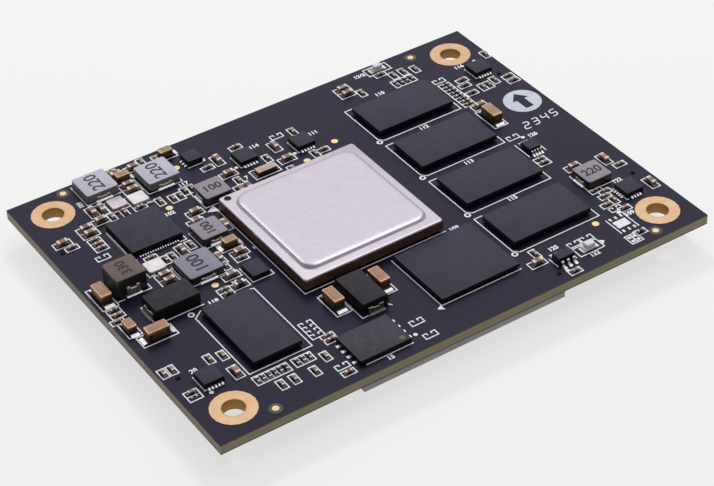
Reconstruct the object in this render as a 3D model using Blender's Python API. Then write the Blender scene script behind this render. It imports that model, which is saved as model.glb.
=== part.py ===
# System on module: a bare circuit board that carries a lidded processor, memory, power parts and small
# chips on top, and four board-to-board connectors underneath. Sizes are in metres, +Z is up, and the
# module stands on the mating faces of its connectors at z = 0. +X runs along the board's long side.
import math

import bmesh
import bpy

for leftover in list(bpy.data.objects):
    bpy.data.objects.remove(leftover)

mm = 0.001

# Board
board_length = 80.0 * mm
board_width = 60.0 * mm
board_thickness = 1.6 * mm
hole_inset = 5.0 * mm
hole_diameter = 3.2 * mm
land_diameter = 6.4 * mm
land_thickness = 0.05 * mm
barrel_wall = 0.12 * mm
barrel_clearance = 0.05 * mm
tooling_hole_diameter = 0.8 * mm
solder_film = 0.05 * mm
round_segments = 20

# Connectors under the board
connector_height = 3.25 * mm
connector_length = 33.3 * mm
connector_width = 4.9 * mm
connector_set_back = 2.0 * mm
side_connector_set_back = 3.0 * mm
connector_shift = -0.45 * mm
contact_pitch = 0.5 * mm
contacts_per_row = 50
contact_width = 0.22 * mm
tail_length = 0.45 * mm
tail_thickness = 0.18 * mm
hold_down_width = 0.9 * mm
connector_end_wall = 1.2 * mm
connector_side_wall = 0.75 * mm
connector_slot_width = 0.85 * mm
connector_slot_depth = 2.3 * mm
connector_edge = 0.2 * mm

# Processor
processor_side = 23.0 * mm
processor_ball_height = 0.25 * mm
processor_ball_inset = 0.55 * mm
carrier_thickness = 1.42 * mm
lid_glue_film = 0.05 * mm
lid_flange_thickness = 0.3 * mm
lid_step_height = 0.65 * mm
lid_step_inset = 1.35 * mm
lid_step_slope = 0.15 * mm
lid_corner_radius = 0.4 * mm
lid_step_radius = 1.5 * mm
lid_marked_radius = 2.3 * mm
lid_dimple_diameter = 0.95 * mm
lid_dimple_inset = 1.0 * mm
lid_dimple_depth = 0.18 * mm

# Memory and storage packages
memory_long_side = 13.5 * mm
memory_short_side = 7.5 * mm
memory_height = 1.02 * mm
memory_pitch = 11.02 * mm
memory_column_count = 4
memory_column_top = (20.23, 16.8)
ball_height = 0.22 * mm
ball_inset = 0.6 * mm
storage_length = 13.0 * mm
storage_width = 11.5 * mm
storage_height = 0.8 * mm
mould_edge = 0.06 * mm

# Leadless chips
leadless_height = 0.85 * mm
power_controller_side = 8.0 * mm
small_chip_side = 3.0 * mm
tiny_chip_side = 2.5 * mm
monitor_length = 2.7 * mm
monitor_width = 3.3 * mm
monitor_height = 0.75 * mm
flash_length = 8.0 * mm
flash_width = 6.0 * mm
flash_height = 0.75 * mm

# Leaded chips
lead_thickness = 0.12 * mm
sensor_length = 2.9 * mm
sensor_width = 1.65 * mm
sensor_height = 1.1 * mm
sensor_lead_span = 3.0 * mm
sensor_lead_width = 0.38 * mm
sensor_lead_pitch = 0.95 * mm
buffer_length = 2.1 * mm
buffer_width = 2.3 * mm
buffer_height = 0.8 * mm
buffer_lead_span = 3.4 * mm
buffer_lead_width = 0.22 * mm
buffer_lead_pitch = 0.5 * mm

# Coils and large capacitors: length, width and height
middle_coil = (5.15 * mm, 5.1 * mm, 1.35 * mm)
small_coil = (4.2 * mm, 4.25 * mm, 1.25 * mm)
wide_coil = (5.4 * mm, 5.35 * mm, 1.2 * mm)
tall_coil = (4.65 * mm, 4.6 * mm, 3.0 * mm)
large_layer_capacitor = (3.25 * mm, 1.65 * mm, 1.65 * mm)
medium_layer_capacitor = (2.05 * mm, 1.3 * mm, 1.25 * mm)
ferrite_bead = (3.2 * mm, 1.35 * mm, 0.8 * mm)
coil_edge = 0.12 * mm
coil_corner_radius = 0.35 * mm
strap_thickness = 0.1 * mm
strap_notch_depth = 0.15 * mm
polymer_length = 7.0 * mm
polymer_width = 4.2 * mm
polymer_height = 1.8 * mm
polymer_draft = 0.12 * mm
polymer_strap_width = 2.4 * mm
layer_cap_edge = 0.12 * mm
end_cap_step = 0.03 * mm

# Lamps and crystals
lamp_length = 2.0 * mm
lamp_width = 1.25 * mm
lamp_base_height = 0.35 * mm
lamp_lens_length = 1.5 * mm
lamp_lens_height = 0.6 * mm
small_crystal = (2.5 * mm, 2.65 * mm)
large_crystal = (2.75 * mm, 2.65 * mm)
crystal_height = 0.5 * mm
crystal_rim = 0.08 * mm
crystal_corner_radius = 0.3 * mm

# Small parts fused to the board: length, width and height
small_sizes = {
    "resistor": (1.0 * mm, 0.5 * mm, 0.35 * mm),
    "capacitor": (1.0 * mm, 0.5 * mm, 0.5 * mm),
    "large capacitor": (1.6 * mm, 0.8 * mm, 0.75 * mm),
}
small_part_root = 0.2 * mm

board_bottom = connector_height
board_top = board_bottom + board_thickness
seat = board_top + solder_film


def spot(x, y):
    # Places are read on a grid of 80 by 60 units from the board's centre, so they follow its size
    return (x * board_length / 80, y * board_width / 60)


def coloured(name, colour, roughness, metallic=0.0):
    material = bpy.data.materials.new(name)
    material.use_nodes = True
    shader = material.node_tree.nodes["Principled BSDF"]
    shader.inputs["Base Color"].default_value = (*colour, 1.0)
    shader.inputs["Roughness"].default_value = roughness
    shader.inputs["Metallic"].default_value = metallic
    material.diffuse_color = (*colour, 1.0)
    return material


finishes = {
    "board": ((0.035, 0.032, 0.045), 0.45, 0.0),
    "gold": ((0.83, 0.62, 0.36), 0.38, 1.0),
    "carrier": ((0.045, 0.022, 0.014), 0.6, 0.0),
    "lid": ((0.72, 0.66, 0.69), 0.34, 1.0),
    "mould": ((0.05, 0.05, 0.065), 0.55, 0.0),
    "coil": ((0.34, 0.32, 0.37), 0.6, 0.0),
    "tall coil": ((0.15, 0.12, 0.12), 0.6, 0.0),
    "polymer": ((0.06, 0.055, 0.058), 0.55, 0.0),
    "ceramic": ((0.4, 0.24, 0.14), 0.5, 0.0),
    "bead": ((0.36, 0.34, 0.34), 0.55, 0.0),
    "crystal": ((0.7, 0.66, 0.68), 0.3, 1.0),
    "lamp base": ((0.75, 0.74, 0.7), 0.5, 0.0),
    "lens": ((0.8, 0.76, 0.84), 0.25, 0.0),
    "housing": ((0.46, 0.43, 0.42), 0.5, 0.0),
}


def finish_mesh(name, shape, finish, smooth_angle=35.0):
    mesh = bpy.data.meshes.new(name)
    bmesh.ops.remove_doubles(shape, verts=shape.verts, dist=1e-7)
    bmesh.ops.recalc_face_normals(shape, faces=shape.faces)
    shape.to_mesh(mesh)
    shape.free()
    mesh.shade_smooth()
    mesh.set_sharp_from_angle(angle=math.radians(smooth_angle))
    part = bpy.data.objects.new(name, mesh)
    bpy.context.scene.collection.objects.link(part)
    mesh.materials.append(coloured(name, *finishes[finish]))
    return part


def combine(part, shape, operation, label):
    tool_mesh = bpy.data.meshes.new(label)
    bmesh.ops.recalc_face_normals(shape, faces=shape.faces)
    shape.to_mesh(tool_mesh)
    shape.free()
    tool = bpy.data.objects.new(label, tool_mesh)
    bpy.context.scene.collection.objects.link(tool)
    tool.parent = part
    tool.hide_render = True
    tool.display_type = "WIRE"
    joint = part.modifiers.new(label, "BOOLEAN")
    joint.operation = operation
    joint.solver = "EXACT"
    joint.object = tool
    return part


def set_down(part, place, turn=0.0, height=seat):
    part.location = (*place, height)
    part.rotation_euler = (0.0, 0.0, math.radians(turn))
    return part


# Shapes


def rounded_outline(length, width, radii, steps=3):
    corners = ((1, 1, 0.0), (-1, 1, 90.0), (-1, -1, 180.0), (1, -1, 270.0))
    points = []
    for (side_x, side_y, start), radius in zip(corners, radii):
        centre_x = side_x * (length / 2 - radius)
        centre_y = side_y * (width / 2 - radius)
        for step in range(steps + 1):
            angle = math.radians(start + 90.0 * step / steps)
            points.append((centre_x + radius * math.cos(angle), centre_y + radius * math.sin(angle)))
    return points


def square_outline(length, width):
    half_x, half_y = length / 2, width / 2
    return [(half_x, half_y), (-half_x, half_y), (-half_x, -half_y), (half_x, -half_y)]


def loft(shape, levels, close=True):
    rings = [[shape.verts.new((x, y, z)) for x, y in outline] for outline, z in levels]
    count = len(rings[0])
    for lower, upper in zip(rings, rings[1:]):
        for index in range(count):
            after = (index + 1) % count
            shape.faces.new((lower[index], lower[after], upper[after], upper[index]))
    if close:
        shape.faces.new(list(reversed(rings[0])))
        shape.faces.new(rings[-1])
    return shape


def box(shape, length, width, low, high, place=(0.0, 0.0)):
    outline = [(x + place[0], y + place[1]) for x, y in square_outline(length, width)]
    return loft(shape, [(outline, low), (outline, high)])


def pillar(shape, radius, low, high, place=(0.0, 0.0), segments=round_segments):
    turns = [2 * math.pi * index / segments for index in range(segments)]
    outline = [(place[0] + radius * math.cos(a), place[1] + radius * math.sin(a)) for a in turns]
    return loft(shape, [(outline, low), (outline, high)])


def lathe(shape, profile, segments=round_segments):
    rings = []
    for index in range(segments):
        angle = 2 * math.pi * index / segments
        rings.append([shape.verts.new((r * math.cos(angle), r * math.sin(angle), z)) for r, z in profile])
    for index in range(segments):
        ring, following = rings[index], rings[(index + 1) % segments]
        for step in range(len(profile)):
            after = (step + 1) % len(profile)
            shape.faces.new((ring[step], following[step], following[after], ring[after]))
    return shape


def bent_strip(shape, side_view, width, centre_x=0.0, facing=1.0):
    # side_view is a closed outline in the plane of Y and Z, drawn for a strip that leaves towards +Y
    sheets = []
    for x in (centre_x - width / 2, centre_x + width / 2):
        sheets.append([shape.verts.new((x, facing * y, z)) for y, z in side_view])
    count = len(side_view)
    for index in range(count):
        after = (index + 1) % count
        shape.faces.new((sheets[0][index], sheets[0][after], sheets[1][after], sheets[1][index]))
    shape.faces.new(sheets[0])
    shape.faces.new(list(reversed(sheets[1])))
    return shape


# Board, with its small parts fused on


def row(start_x, start_y, step_x, step_y, count):
    return [(start_x + step_x * index, start_y + step_y * index) for index in range(count)]


# Kind, turn in degrees and places of the small parts, in grid units
small_parts_top = [
    ("capacitor", 0, [(-36.4, 16.5), (-24.0, 19.05), (-23.5, 29.05), (-11.3, 21.6), (-5.35, 23.6)]),
    ("capacitor", 0, row(-33.05, 16.1, 0.0, -1.07, 3)),
    ("capacitor", 0, [(4.9, 15.35), (22.9, 26.8), (32.2, 18.0), (31.7, 16.6), (38.6, 14.7), (38.6, 13.3)]),
    ("capacitor", 0, row(29.25, 18.45, 0.0, -0.9, 8)),
    ("capacitor", 0, [(31.4, 14.3), (29.15, -5.6), (29.15, -6.6), (37.7, -13.35), (31.1, -18.15)]),
    ("capacitor", 0, [(31.85, -17.2), (30.05, -19.9), (31.6, -21.95), (29.85, -27.4), (17.15, -28.9)]),
    ("capacitor", 0, [(-38.25, 0.9), (-38.25, -0.25), (-38.9, -1.4), (-28.5, 7.95), (-23.9, -4.1)]),
    ("capacitor", 0, [(-23.9, -5.1), (-38.0, -19.45), (-17.7, -20.4), (-17.7, -21.3), (-18.3, 0.45)]),
    ("capacitor", 0, [(-19.4, -28.0)]),
    ("capacitor", 90, [(-28.4, 19.5), (-26.4, 19.4), (-21.05, 18.6), (-9.25, 16.2), (-3.0, 18.45)]),
    ("capacitor", 90, [(-19.15, 18.1), (-18.0, 18.1), (-16.9, 18.65), (-15.75, 18.65), (3.7, 22.0)]),
    ("capacitor", 90, [(3.4, 15.2), (17.75, 24.3), (24.4, 25.4), (26.2, 25.4), (28.15, 24.9)]),
    ("capacitor", 90, [(39.4, 21.75), (33.7, 14.6), (34.8, 14.6), (36.25, 15.1), (31.55, -19.45)]),
    ("capacitor", 90, [(14.95, -22.7), (-27.0, 6.4), (-25.9, 6.5), (-22.55, 7.3), (-39.1, -14.1)]),
    ("capacitor", 90, [(-37.8, -14.1), (-32.8, -15.1), (-30.95, -15.5), (-27.65, -24.9), (-25.75, -24.95)]),
    ("capacitor", 90, [(-22.75, -25.2), (-20.1, -23.6), (-18.55, 28.7), (-16.35, 28.0), (-21.0, 0.4)]),
    ("capacitor", 90, [(-1.4, 13.9)]),
    ("resistor", 90, row(23.4, 23.2, 0.95, 0.0, 4)),
    ("resistor", 90, row(-29.8, -22.4, 0.87, 0.0, 6)),
    ("resistor", 90, row(-23.75, -22.4, 0.95, 0.0, 3)),
    ("large capacitor", 0, [(-37.1, 18.0), (-32.85, 19.1), (-32.85, 17.75), (-30.2, 19.55)]),
    ("large capacitor", 0, [(-22.95, 24.7), (-22.95, 23.3), (-23.2, 27.95), (-20.25, 28.1)]),
    ("large capacitor", 0, [(-9.65, 18.4), (-0.7, 16.5), (15.85, 26.8), (15.8, 25.3), (-18.3, 13.3)]),
    ("large capacitor", 0, [(-19.25, 11.3), (-17.9, 1.7), (-28.95, 3.4), (-28.95, 2.0), (-21.5, -2.0)]),
    ("large capacitor", 0, [(31.8, -10.0), (30.2, 10.7), (14.0, -24.55), (-21.6, -4.45)]),
    ("large capacitor", 90, [(-30.2, 22.1), (-28.8, 21.9), (-9.2, 22.35), (-0.55, 20.25)]),
    ("large capacitor", 90, [(-16.35, 8.3), (-20.9, 2.25), (-24.15, 6.85), (-31.25, -19.35)]),
    ("large capacitor", 90, [(36.65, -11.05), (38.45, -19.45), (-10.2, 13.9), (-8.95, 14.0)]),
]
processor_place = (-3.65, 0.45)
under_grid_pitch = 2.4
under_grid_columns = 4
under_grid_rows = 3


def fused_small_parts():
    shape = bmesh.new()
    for kind, turn, places in small_parts_top:
        length, width, height = small_sizes[kind]
        if turn:
            length, width = width, length
        for x, y in places:
            box(shape, length, width, -small_part_root, height, spot(x, y))
    # Decoupling capacitors stand under the processor, in a plain grid
    length, width, height = small_sizes["capacitor"]
    for column in range(under_grid_columns):
        for line in range(under_grid_rows):
            x = processor_place[0] + under_grid_pitch * (column - (under_grid_columns - 1) / 2)
            y = processor_place[1] + under_grid_pitch * (line - (under_grid_rows - 1) / 2)
            low = -board_thickness - height
            box(shape, width, length, low, small_part_root - board_thickness, spot(x, y))
    return shape


mounting_places = [
    (side_x * (board_length / 2 - hole_inset), side_y * (board_width / 2 - hole_inset))
    for side_x, side_y in ((-1, 1), (1, 1), (1, -1), (-1, -1))
]
tooling_places = [(-38.05, 16.2), (-38.0, -16.0), (37.9, 16.1), (37.9, -16.1), (15.05, -28.05)]


def build_board():
    shape = box(bmesh.new(), board_length, board_width, -board_thickness, 0.0)
    part = finish_mesh("circuit_board", shape, "board")
    set_down(part, (0.0, 0.0), height=board_top)
    holes = bmesh.new()
    reach = board_thickness
    for place in mounting_places:
        pillar(holes, hole_diameter / 2 + barrel_wall + barrel_clearance, -2 * reach, reach, place)
    for x, y in tooling_places:
        pillar(holes, tooling_hole_diameter / 2, -2 * reach, reach, spot(x, y), segments=12)
    combine(part, holes, "DIFFERENCE", "board_holes")
    combine(part, fused_small_parts(), "UNION", "small_parts")
    return part


def build_mounting_ring(name, place):
    bore = hole_diameter / 2
    barrel = bore + barrel_wall
    land = land_diameter / 2
    profile = [
        (bore, land_thickness),
        (land, land_thickness),
        (land, 0.0),
        (barrel, 0.0),
        (barrel, -board_thickness),
        (land, -board_thickness),
        (land, -board_thickness - land_thickness),
        (bore, -board_thickness - land_thickness),
    ]
    part = finish_mesh(name, lathe(bmesh.new(), profile), "gold")
    return set_down(part, place, height=board_top)


# Processor


def build_processor(place):
    # The carrier stands on its field of solder balls, and the stepped metal lid is glued on top
    side = processor_side
    balls = side - 2 * processor_ball_inset
    low = processor_ball_height
    high = low + carrier_thickness
    shape = loft(bmesh.new(), [
        (square_outline(balls, balls), 0.0),
        (square_outline(balls, balls), low),
        (square_outline(side, side), low),
        (square_outline(side, side), high),
    ])
    set_down(finish_mesh("processor_carrier", shape, "carrier"), place)

    flange = lid_flange_thickness
    step = side - 2 * lid_step_inset
    top = step - 2 * lid_step_slope
    corners = (lid_corner_radius,) * 4
    step_corners = (lid_step_radius, lid_marked_radius, lid_step_radius, lid_step_radius)
    levels = [
        (rounded_outline(side, side, corners), 0.0),
        (rounded_outline(side, side, corners), flange),
        (rounded_outline(step, step, step_corners), flange),
        (rounded_outline(top, top, step_corners), flange + lid_step_height),
    ]
    lid = finish_mesh("processor_lid", loft(bmesh.new(), levels), "lid")
    corner = side / 2 - lid_dimple_inset
    floor = flange - lid_dimple_depth
    dimple = pillar(bmesh.new(), lid_dimple_diameter / 2, floor, 2 * flange, (-corner, corner))
    combine(lid, dimple, "DIFFERENCE", "lid_dimple")
    set_down(lid, place, height=seat + high + lid_glue_film)


# Chips


def ball_package(name, length, width, height, place):
    field = square_outline(length - 2 * ball_inset, width - 2 * ball_inset)
    body = square_outline(length, width)
    face = square_outline(length - 2 * mould_edge, width - 2 * mould_edge)
    levels = [(field, 0.0), (field, ball_height), (body, ball_height)]
    levels += [(body, height - mould_edge), (face, height)]
    return set_down(finish_mesh(name, loft(bmesh.new(), levels), "mould"), place)


def leadless_chip(name, length, width, height, place):
    body = square_outline(length, width)
    face = square_outline(length - 2 * mould_edge, width - 2 * mould_edge)
    levels = [(body, 0.0), (body, height - mould_edge), (face, height)]
    return set_down(finish_mesh(name, loft(bmesh.new(), levels), "mould"), place)


def leaded_chip(name, body_size, lead, count, place):
    length, width, height = body_size
    span, lead_width, pitch = lead
    lift = 2 * lead_thickness
    waist = (height + lift) / 2
    draft = 0.05 * mm
    levels = [
        (square_outline(length - 2 * draft, width - 2 * draft), lift),
        (square_outline(length, width), waist),
        (square_outline(length - 2 * draft, width - 2 * draft), height),
    ]
    part = finish_mesh(name, loft(bmesh.new(), levels), "mould")
    reach = span / 2
    root = width / 2 - 2 * draft
    shoulder = width / 2 + (reach - width / 2) * 0.35
    ankle = width / 2 + (reach - width / 2) * 0.5
    side_view = [
        (root, waist + lead_thickness / 2),
        (shoulder, waist + lead_thickness / 2),
        (ankle + lead_thickness, lead_thickness),
        (reach, lead_thickness),
        (reach, 0.0),
        (ankle, 0.0),
        (shoulder - lead_thickness, waist - lead_thickness / 2),
        (root, waist - lead_thickness / 2),
    ]
    leads = bmesh.new()
    for index in range(count):
        middle = (index - (count - 1) / 2) * pitch
        bent_strip(leads, side_view, lead_width, middle, 1.0)
        bent_strip(leads, side_view, lead_width, middle, -1.0)
    combine(part, leads, "UNION", name + "_leads")
    return set_down(part, place)


# Coils and large capacitors


def strap(shape, half_reach, width, height, facing):
    # A metal strap up one side of the body, with a notch in its top edge
    half = width / 2
    notch = half * 0.3
    front = facing * (half_reach + strap_thickness)
    back = facing * (half_reach - strap_thickness)
    outline = [
        (-half, 0.0), (half, 0.0), (half, height), (notch, height),
        (notch, height - strap_notch_depth), (-notch, height - strap_notch_depth),
        (-notch, height), (-half, height),
    ]
    near = [shape.verts.new((x, front, z)) for x, z in outline]
    far = [shape.verts.new((x, back, z)) for x, z in outline]
    for index in range(len(outline)):
        after = (index + 1) % len(outline)
        shape.faces.new((near[index], near[after], far[after], far[index]))
    shape.faces.new(near)
    shape.faces.new(list(reversed(far)))
    return shape


def coil(name, length, width, height, place, turn=0.0, finish="coil"):
    body = rounded_outline(length, width, (coil_corner_radius,) * 4, steps=2)
    inner = coil_corner_radius - coil_edge / 2
    face = rounded_outline(length - 2 * coil_edge, width - 2 * coil_edge, (inner,) * 4, steps=2)
    shape = loft(bmesh.new(), [(body, 0.0), (body, height - coil_edge), (face, height)])
    part = finish_mesh(name, shape, finish)
    straps = bmesh.new()
    for facing in (-1.0, 1.0):
        strap(straps, width / 2, length * 0.45, height * 0.55, facing)
    combine(part, straps, "UNION", name + "_straps")
    return set_down(part, place, turn)


def polymer_capacitor(name, place, turn):
    length, width, height = polymer_length, polymer_width, polymer_height
    inset = 2 * polymer_draft
    levels = [
        (square_outline(width - inset, length - inset), 0.0),
        (square_outline(width, length), height * 0.45),
        (square_outline(width - inset, length - inset), height - mould_edge),
        (square_outline(width - inset - 2 * mould_edge, length - inset - 2 * mould_edge), height),
    ]
    part = finish_mesh(name, loft(bmesh.new(), levels), "polymer")
    straps = bmesh.new()
    for facing in (-1.0, 1.0):
        strap(straps, length / 2, polymer_strap_width, height * 0.5, facing)
    combine(part, straps, "UNION", name + "_straps")
    return set_down(part, place, turn)


def layer_capacitor(name, length, width, height, place, turn=0.0, finish="ceramic"):
    # Lofted end to end: cut long edges, a raised metal cap at each end and a slimmer body between
    cap = length * 0.16

    def section(inset, edge):
        half, top = width / 2 - inset, height - inset
        low = inset
        return [
            (half - edge, low), (half, low + edge), (half, top - edge), (half - edge, top),
            (edge - half, top), (-half, top - edge), (-half, low + edge), (edge - half, low),
        ]

    full = section(0.0, layer_cap_edge)
    slim = section(end_cap_step, layer_cap_edge)
    half = length / 2
    stations = [
        (full, -half), (full, cap - half), (slim, cap - half),
        (slim, half - cap), (full, half - cap), (full, half),
    ]
    shape = bmesh.new()
    rings = [[shape.verts.new((x, y, z)) for y, z in outline] for outline, x in stations]
    for lower, upper in zip(rings, rings[1:]):
        for index in range(8):
            after = (index + 1) % 8
            shape.faces.new((lower[index], lower[after], upper[after], upper[index]))
    shape.faces.new(list(reversed(rings[0])))
    shape.faces.new(rings[-1])
    return set_down(finish_mesh(name, shape, finish), place, turn)


# Lamps and crystals


def lamp(number, place):
    base = box(bmesh.new(), lamp_length, lamp_width, 0.0, lamp_base_height)
    set_down(finish_mesh(f"lamp_{number}_base", base, "lamp base"), place)
    steps = 3
    levels = []
    for step in range(steps + 1):
        angle = math.radians(75.0 * step / steps)
        size = 0.65 + 0.35 * math.cos(angle)
        radii = (lamp_width * size / 4,) * 4
        outline = rounded_outline(lamp_lens_length * size, lamp_width * size, radii, steps=2)
        levels.append((outline, lamp_lens_height * math.sin(angle)))
    lens = finish_mesh(f"lamp_{number}_lens", loft(bmesh.new(), levels), "lens", smooth_angle=60.0)
    set_down(lens, place, height=seat + lamp_base_height + solder_film)


def crystal(name, length, width, place):
    # A ceramic tray with a lower rim, and a metal lid with round corners standing out of it
    inset = 2 * crystal_rim
    lid = rounded_outline(length - inset, width - inset, (crystal_corner_radius,) * 4, steps=2)
    shape = box(bmesh.new(), length, width, 0.0, crystal_height / 2)
    part = finish_mesh(name, shape, "crystal")
    cover = loft(bmesh.new(), [(lid, crystal_height / 4), (lid, crystal_height)])
    combine(part, cover, "UNION", name + "_cover")
    return set_down(part, place)


# Connectors


def toothed_outline(length, width, tooth_length):
    # Both long sides carry a row of contact tails at the contact pitch, and each end a hold-down tab
    first = -(contacts_per_row - 1) / 2 * contact_pitch
    half_x, half_y = length / 2, width / 2
    points = [(-half_x, -half_y)]
    for index in range(contacts_per_row):
        middle = first + index * contact_pitch
        left, right = middle - contact_width / 2, middle + contact_width / 2
        points += [(left, -half_y), (left, -half_y - tooth_length)]
        points += [(right, -half_y - tooth_length), (right, -half_y)]
    tab = hold_down_width / 2
    points += [(half_x, -half_y), (half_x, -tab), (half_x + tooth_length, -tab)]
    points += [(half_x + tooth_length, tab), (half_x, tab)]
    far_side = [(-x, -y) for x, y in points]
    return points + far_side


def build_connector(name, place, turn):
    length, width, height = connector_length, connector_width, connector_height
    base = height - tail_thickness
    shape = bmesh.new()
    outline = toothed_outline(length, width, tail_length)
    loft(shape, [(outline, base), (outline, height - land_thickness)])
    part = finish_mesh(name, shape, "housing")

    edge = connector_edge
    body = bmesh.new()
    nose = square_outline(length - 2 * edge, width - 2 * edge)
    full = square_outline(length, width)
    loft(body, [(nose, 0.0), (full, edge), (full, base + tail_thickness / 3)])
    combine(part, body, "UNION", name + "_body")

    slot_length = length - 2 * connector_end_wall
    slot_centre = width / 2 - connector_side_wall - connector_slot_width / 2
    slots = bmesh.new()
    for side in (-1, 1):
        middle = (0.0, side * slot_centre)
        box(slots, slot_length, connector_slot_width, -edge, connector_slot_depth, middle)
    combine(part, slots, "DIFFERENCE", name + "_slots")
    return set_down(part, place, turn, height=0.0)


# Assembly

build_board()
for number, place in enumerate(mounting_places, start=1):
    build_mounting_ring(f"mounting_ring_{number}", place)

build_processor(spot(*processor_place))

for number in range(memory_column_count):
    column_x, column_y = spot(*memory_column_top)
    place = (column_x, column_y - number * memory_pitch)
    ball_package(f"memory_chip_{number + 1}", memory_long_side, memory_short_side, memory_height, place)
place = spot(-25.2, -13.35)
ball_package("memory_chip_5", memory_short_side, memory_long_side, memory_height, place)
ball_package("storage_chip", storage_length, storage_width, storage_height, spot(4.9, -18.18))

leadless_chip("flash_chip", flash_length, flash_width, flash_height, spot(-13.4, -24.9))
side = power_controller_side
leadless_chip("power_controller", side, side, leadless_height, spot(-26.5, 13.5))
side = small_chip_side
leadless_chip("regulator_1", side, side, leadless_height, spot(-5.7, 20.3))
leadless_chip("regulator_2", side, side, leadless_height, spot(3.17, 18.55))
leadless_chip("regulator_3", side, side, leadless_height, spot(35.9, 18.75))
leadless_chip("regulator_4", side, side, leadless_height, spot(-34.75, -18.45))
leadless_chip("clock_generator", side, side, leadless_height, spot(34.75, -18.9))
side = tiny_chip_side
leadless_chip("regulator_5", side, side, leadless_height, spot(-12.2, 24.75))
leadless_chip("monitor_chip", monitor_length, monitor_width, monitor_height, spot(-18.2, -3.1))
body = (sensor_length, sensor_width, sensor_height)
lead = (sensor_lead_span, sensor_lead_width, sensor_lead_pitch)
leaded_chip("sensor_chip", body, lead, 3, spot(17.47, -25.9))
body = (buffer_length, buffer_width, buffer_height)
lead = (buffer_lead_span, buffer_lead_width, buffer_lead_pitch)
leaded_chip("buffer_chip", body, lead, 4, spot(29.8, -2.5))

coil("coil_1", *middle_coil, spot(-27.2, 26.7))
coil("coil_2", *middle_coil, spot(-18.5, 23.95))
coil("coil_3", *small_coil, spot(-13.98, 15.67), turn=90.0)
coil("coil_4", *small_coil, spot(-19.22, 7.78))
coil("coil_5", *wide_coil, spot(-24.4, 1.9))
coil("coil_6", *tall_coil, spot(-34.18, 4.91), finish="tall coil")
coil("coil_7", *small_coil, spot(32.37, -13.5), turn=90.0)
polymer_capacitor("polymer_capacitor_1", spot(-31.2, -2.55), 90.0)
polymer_capacitor("polymer_capacitor_2", spot(-9.5, -16.27), 0.0)

layer_capacitor("layer_capacitor_1", *large_layer_capacitor, spot(-38.2, 4.22), 90.0)
layer_capacitor("layer_capacitor_2", *large_layer_capacitor, spot(-35.93, -6.98))
layer_capacitor("layer_capacitor_3", *large_layer_capacitor, spot(-13.3, -15.15), 90.0)
layer_capacitor("layer_capacitor_4", *large_layer_capacitor, spot(-5.93, -15.2), 90.0)
layer_capacitor("layer_capacitor_5", *large_layer_capacitor, spot(29.79, 7.14), 90.0)
layer_capacitor("layer_capacitor_6", *medium_layer_capacitor, spot(-18.13, 3.93))
layer_capacitor("layer_capacitor_7", *medium_layer_capacitor, spot(-14.82, 28.0))
layer_capacitor("layer_capacitor_8", *medium_layer_capacitor, spot(-22.92, 26.45))
layer_capacitor("layer_capacitor_9", *medium_layer_capacitor, spot(-38.34, -3.77), 90.0)
layer_capacitor("ferrite_bead", *ferrite_bead, spot(-4.86, 15.8), finish="bead")

lamp(1, spot(23.35, 28.35))
lamp(2, spot(21.85, -25.95))
crystal("crystal_1", *small_crystal, spot(-26.47, 21.6))
crystal("crystal_2", *large_crystal, spot(-23.38, 20.86))
crystal("crystal_3", *large_crystal, spot(-29.17, 5.8))

front_y = board_width / 2 - connector_set_back - connector_width / 2
side_x = board_length / 2 - side_connector_set_back - connector_width / 2
build_connector("connector_1", (connector_shift, -front_y), 0.0)
build_connector("connector_2", (connector_shift, front_y), 180.0)
build_connector("connector_3", (-side_x, 0.0), 90.0)
build_connector("connector_4", (side_x, 0.0), 270.0)
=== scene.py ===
import math

import bpy
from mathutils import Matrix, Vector


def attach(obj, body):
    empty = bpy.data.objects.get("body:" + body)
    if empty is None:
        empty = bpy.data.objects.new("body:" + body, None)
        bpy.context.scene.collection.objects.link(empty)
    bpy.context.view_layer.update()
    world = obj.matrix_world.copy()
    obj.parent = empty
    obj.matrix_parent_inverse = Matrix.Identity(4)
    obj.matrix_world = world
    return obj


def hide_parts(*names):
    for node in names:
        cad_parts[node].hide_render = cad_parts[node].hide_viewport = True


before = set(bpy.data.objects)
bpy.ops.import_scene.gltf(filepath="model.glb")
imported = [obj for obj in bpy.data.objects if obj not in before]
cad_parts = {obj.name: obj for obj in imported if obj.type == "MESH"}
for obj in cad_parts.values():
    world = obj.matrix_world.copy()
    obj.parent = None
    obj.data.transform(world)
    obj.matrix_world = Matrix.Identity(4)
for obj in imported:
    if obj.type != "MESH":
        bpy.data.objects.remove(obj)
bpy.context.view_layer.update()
print("solids loaded:", len(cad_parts))

mm = 0.001
boardTop = 4.85      # height of the board's upper face above the table, in mm
boardBottom = 3.25
scene = bpy.context.scene
scene.view_settings.view_transform = "Standard"


def at(x, y, z=0.0):
    # x and y from the board's centre, z above the board's upper face, all in mm
    return Vector((x * mm, y * mm, (boardTop + z) * mm))


def tone(red, green, blue):
    # a screen colour from 0 to 255, as Blender's linear colour
    return [(c / 255 / 12.92 if c < 10 else ((c / 255 + 0.055) / 1.055) ** 2.4) for c in (red, green, blue)]


def pick(*things):
    bpy.ops.object.select_all(action="DESELECT")
    for thing in things:
        thing.select_set(True)
    if things:
        bpy.context.view_layer.objects.active = things[0]


def freeze(thing):
    pick(thing)
    bpy.ops.object.transform_apply(location=True, rotation=True, scale=True)
    return thing


def named(name, scale=(1, 1, 1)):
    # names and sizes the primitive that was just added
    made = bpy.context.object
    made.name = name
    made.scale = scale
    return freeze(made)


def block(name, size, place):
    pick()
    bpy.ops.mesh.primitive_cube_add(size=1, location=at(*place))
    return named(name, [side * mm for side in size])


def rod(name, radius, height, place, sides):
    pick()
    bpy.ops.mesh.primitive_cylinder_add(vertices=sides, radius=radius * mm, depth=height * mm,
                                        location=at(*place))
    return named(name)


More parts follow.
